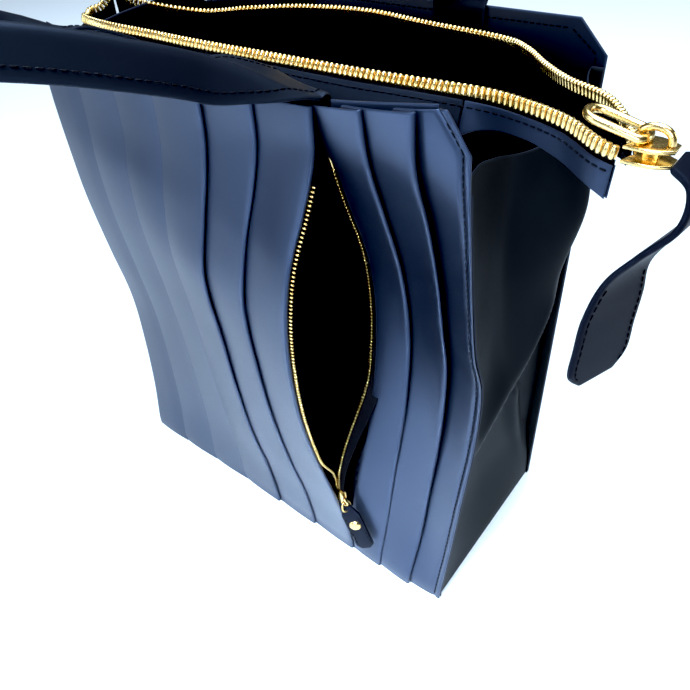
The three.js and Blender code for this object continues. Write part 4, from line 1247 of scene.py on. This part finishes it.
def add_end_tab():
    """The leather tab on the zip's free end: two layers sewn together round their edge."""
    edges = {}
    for side in (-1, 1):
        points = []
        for x, z, width, turn in END_TAB_PATH:
            reach, angle = side * width / 2, math.radians(turn)
            points.append((x + reach * math.sin(angle), END_TAB["y"] + reach * math.cos(angle), z))
        edges[side] = catmull(points, 90)
    # The tab takes the darker copy of the leather, a painted shade.
    ribbon(
        "main_zip_end_tab", edges[1], edges[-1], END_TAB["thickness"], [PAINTED_SHADE_TAB], across=13,
        wear=WEAR["end_tab"], slot="leather", replaces=["zip_end_tab"],
    )
    middle = (edges[1] + edges[-1]) / 2
    normal = unit(np.cross(unit(np.gradient(middle, axis=0)), unit(edges[1] - edges[-1])))
    for face in (-1, 1):
        raised = face * (END_TAB["thickness"] / 2 + STRAP_THREAD) * normal
        for side in (-1, 1):
            inner = edges[side] + END_TAB["seam"] * unit(middle - edges[side])
            stitch((inner + raised)[END_TAB["sewn"]])


# Handles


def strap_outline(inner, outer, crease):
    """A strap's section, bent down on both sides of a crease, each by its own angle, with rounded edges."""
    places, fullness = edged(2 * STRAP_HALF_WIDTH, 35, STRAP)
    s = places - STRAP_HALF_WIDTH
    fine = np.linspace(-STRAP_HALF_WIDTH, STRAP_HALF_WIDTH, 801)
    angle = (inner - outer) / 2 - (inner + outer) / 2 * np.tanh((fine - crease) / (STRAP_BEND / 2))
    step = fine[1] - fine[0]
    middle = []
    for share in (np.cos(angle), np.sin(angle)):
        run = np.cumsum(share) * step
        middle.append(np.interp(s, fine, run - np.interp(0, fine, run)))
    middle = np.stack(middle, -1)
    turn = np.interp(s, fine, angle)
    normal = np.stack([-np.sin(turn), np.cos(turn)], -1)
    half = STRAP / 2 * fullness[:, None]
    return middle + half * normal, middle - half * normal


def strap_fold(side, r):
    return math.radians(float(smooth(STRAP_FOLD["r"], STRAP_FOLD[side], r)))


def handle_stations(foot_y, foot_z, edge_z, outward, lean):
    """Half a handle from foot to top: each station's middle, directions across and up, and folds."""
    angle = math.radians(lean["angle"])
    level = np.array([1, 0, 0])
    upright = np.array([0, -outward, 0])
    foot = [np.array([FOOT_X, foot_y, z]) for z in np.linspace(foot_z, edge_z, 8)]
    stations = [(centre, level, upright, (0, 0, 0)) for centre in foot]
    start_y, start_z = foot_y, edge_z
    if lean["edge_radius"]:
        bend = math.pi / 2 - angle
        for turn in np.linspace(0, bend, 10)[1:]:
            start_y = foot_y + outward * lean["edge_radius"] * (1 - math.cos(turn))
            start_z = edge_z + lean["edge_radius"] * math.sin(turn)
            up = np.array([0, -outward * math.cos(turn), math.sin(turn)])
            folds = (strap_fold("inner", 0) * (turn / bend) ** 2, 0, STRAP_HALF_WIDTH)
            stations.append((np.array([FOOT_X, start_y, start_z]), level, up, folds))
    ahead = np.array([0, outward * math.cos(angle), math.sin(angle)])
    up = np.array([0, -outward * math.sin(angle), math.cos(angle)])
    power = ARCH_ROUNDNESS
    for turn in np.linspace(0, 1, 56)[1:] ** ARCH_SPACING * math.pi / 2:
        sine, cosine = math.sin(turn), math.cos(turn)
        r = HANDLE_REACH * sine**power
        x = FOOT_X * max(cosine, 0) ** power
        dx = -FOOT_X * power * max(cosine, 1e-6) ** (power - 1) * sine
        dr = HANDLE_REACH * power * sine ** (power - 1) * cosine
        size = math.hypot(dx, dr)
        beyond = max(0, r - lean["droop_from"]) / (HANDLE_REACH - lean["droop_from"])
        centre = np.array([x, start_y, start_z - lean["droop"] * beyond**2])
        centre = centre + ahead * r + up * CREASE_RISE * float(ease(r / FOLD_END))
        across = np.array([dr / size, 0, 0]) - ahead * dx / size
        crease = STRAP_HALF_WIDTH * (1 - float(ease(r / CREASE_END)))
        stations.append((centre, across, up, (strap_fold("inner", r), strap_fold("outer", r), crease)))
    return stations


def add_handle(name, node, *foot_and_lean):
    """One handle: its feet stand behind the panel, its arch leans out, and its strap folds double."""
    stations = handle_stations(*foot_and_lean)
    mirror = np.array([-1, 1, 1])
    stations += [(c * mirror, a * mirror, u * mirror, folds) for c, a, u, folds in stations[-2::-1]]
    sections = []
    for centre, across, up, folds in stations:
        sections.append([carried(face, centre, across, up) for face in strap_outline(*folds)])
    outer, inner = (np.array(face) for face in zip(*sections))
    edge = np.zeros(outer.shape[1])
    edge[: len(EDGE_HALF)] = WEAR["edge"]
    edge[-len(EDGE_HALF):] = WEAR["edge"]
    # The strap takes the darker copy of the leather, a painted shade.
    two_sided(name, outer, inner, [PAINTED_SHADE_STRAP], wear=edge[None, :], slot="leather", replaces=[node])
    for column in STRAP_SEAM["columns"]:
        raised = STRAP_THREAD * unit(outer[:, column] - inner[:, column])
        stitch((outer[:, column] + raised)[STRAP_SEAM["rows"]])


def add_handles():
    front_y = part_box("handle_front")[1].y / MM - STRAP / 2
    front_top = float(sagged(FOOT_X + STRAP_HALF_WIDTH, HEIGHT))
    front_edge = front_top + STRAP_CLEAR
    add_handle("front_handle", "handle_front", front_y, front_top - FOOT_HEIGHT, front_edge, -1, FRONT_LEAN)
    foot = HEIGHT - FOOT_HEIGHT
    seat = LEATHER / 2 + STRAP / 2 + 2 * STRAP_CLEAR
    back_y = BACK_Y + float(back_bulge(FOOT_X, foot)) - seat
    back_foot = foot - BACK_FOOT_DROP
    add_handle("back_handle", "handle_back", back_y, back_foot, HEIGHT + STRAP_CLEAR, 1, BACK_LEAN)
    half = STRAP_HALF_WIDTH - FOOT_SEAMS["inset"]
    heights = [foot + rise for rise in FOOT_SEAMS["above_foot"]] + [HEIGHT - FOOT_SEAMS["below_top"]]
    for middle in (-FOOT_X, FOOT_X):
        x = np.linspace(middle - half, middle + half, 20)
        for z in heights:
            stitch(np.stack([x, 0 * x + back_y - STRAP / 2 - STRAP_THREAD, 0 * x + z], -1))


# Stage


def add_floor():
    half = FLOOR_HALF
    mesh = bpy.data.meshes.new("floor")
    corners = [(-half, -half, 0), (half, -half, 0), (half, half, 0), (-half, half, 0)]
    mesh.from_pydata(corners, [], [range(4)])
    mesh.materials.append(floor_material("floor_paint"))
    floor = bpy.data.objects.new("floor", mesh)
    bpy.context.scene.collection.objects.link(floor)


def add_light(name, place, target, size, power, spread):
    data = bpy.data.lights.new(name, "AREA")
    data.shape = "DISK"
    data.size = size
    data.energy = power
    data.color = DAYLIGHT
    data.spread = math.radians(spread)
    lamp = bpy.data.objects.new(name, data)
    lamp.location = place
    lamp.rotation_euler = (Vector(target) - Vector(place)).to_track_quat("-Z", "Y").to_euler()
    bpy.context.scene.collection.objects.link(lamp)


def add_world():
    world = bpy.data.worlds.new("studio")
    world.use_nodes = True
    background = world.node_tree.nodes["Background"]
    background.inputs["Color"].default_value = SKY["colour"]
    background.inputs["Strength"].default_value = SKY["strength"]
    bpy.context.scene.world = world


def add_camera():
    """The photograph's view, fitted to the corners of the bag."""
    data = bpy.data.cameras.new("camera")
    data.sensor_width = CAMERA["sensor"]
    data.lens = CAMERA["lens"]
    data.clip_start = CAMERA["clip"]
    camera = bpy.data.objects.new("camera", data)
    forward, right = Vector(CAMERA["forward"]), Vector(CAMERA["right"])
    turn = Matrix((right, right.cross(forward), -forward)).transposed().to_4x4()
    camera.matrix_world = Matrix.Translation(CAMERA["place"]) @ turn
    bpy.context.scene.collection.objects.link(camera)
    bpy.context.scene.camera = camera


def add_tone():
    """Plain tones with deep blacks, like the photograph."""
    view = bpy.context.scene.view_settings
    view.view_transform = "Standard"
    view.use_curve_mapping = True
    view.curve_mapping.black_level = BLACK_LEVEL
    view.curve_mapping.update()


add_base()
add_back_panel()
add_front_left()
add_front_right()
add_front_rims()
add_gusset("left")
add_gusset("right")
add_pocket_zip()
add_pouch()
add_pocket_pull()
add_main_zip()
add_main_slider()
add_end_tab()
add_handles()
add_stitches()
add_floor()
for light, values in LIGHTS.items():
    add_light(light, *values)
add_world()
add_camera()
add_tone()
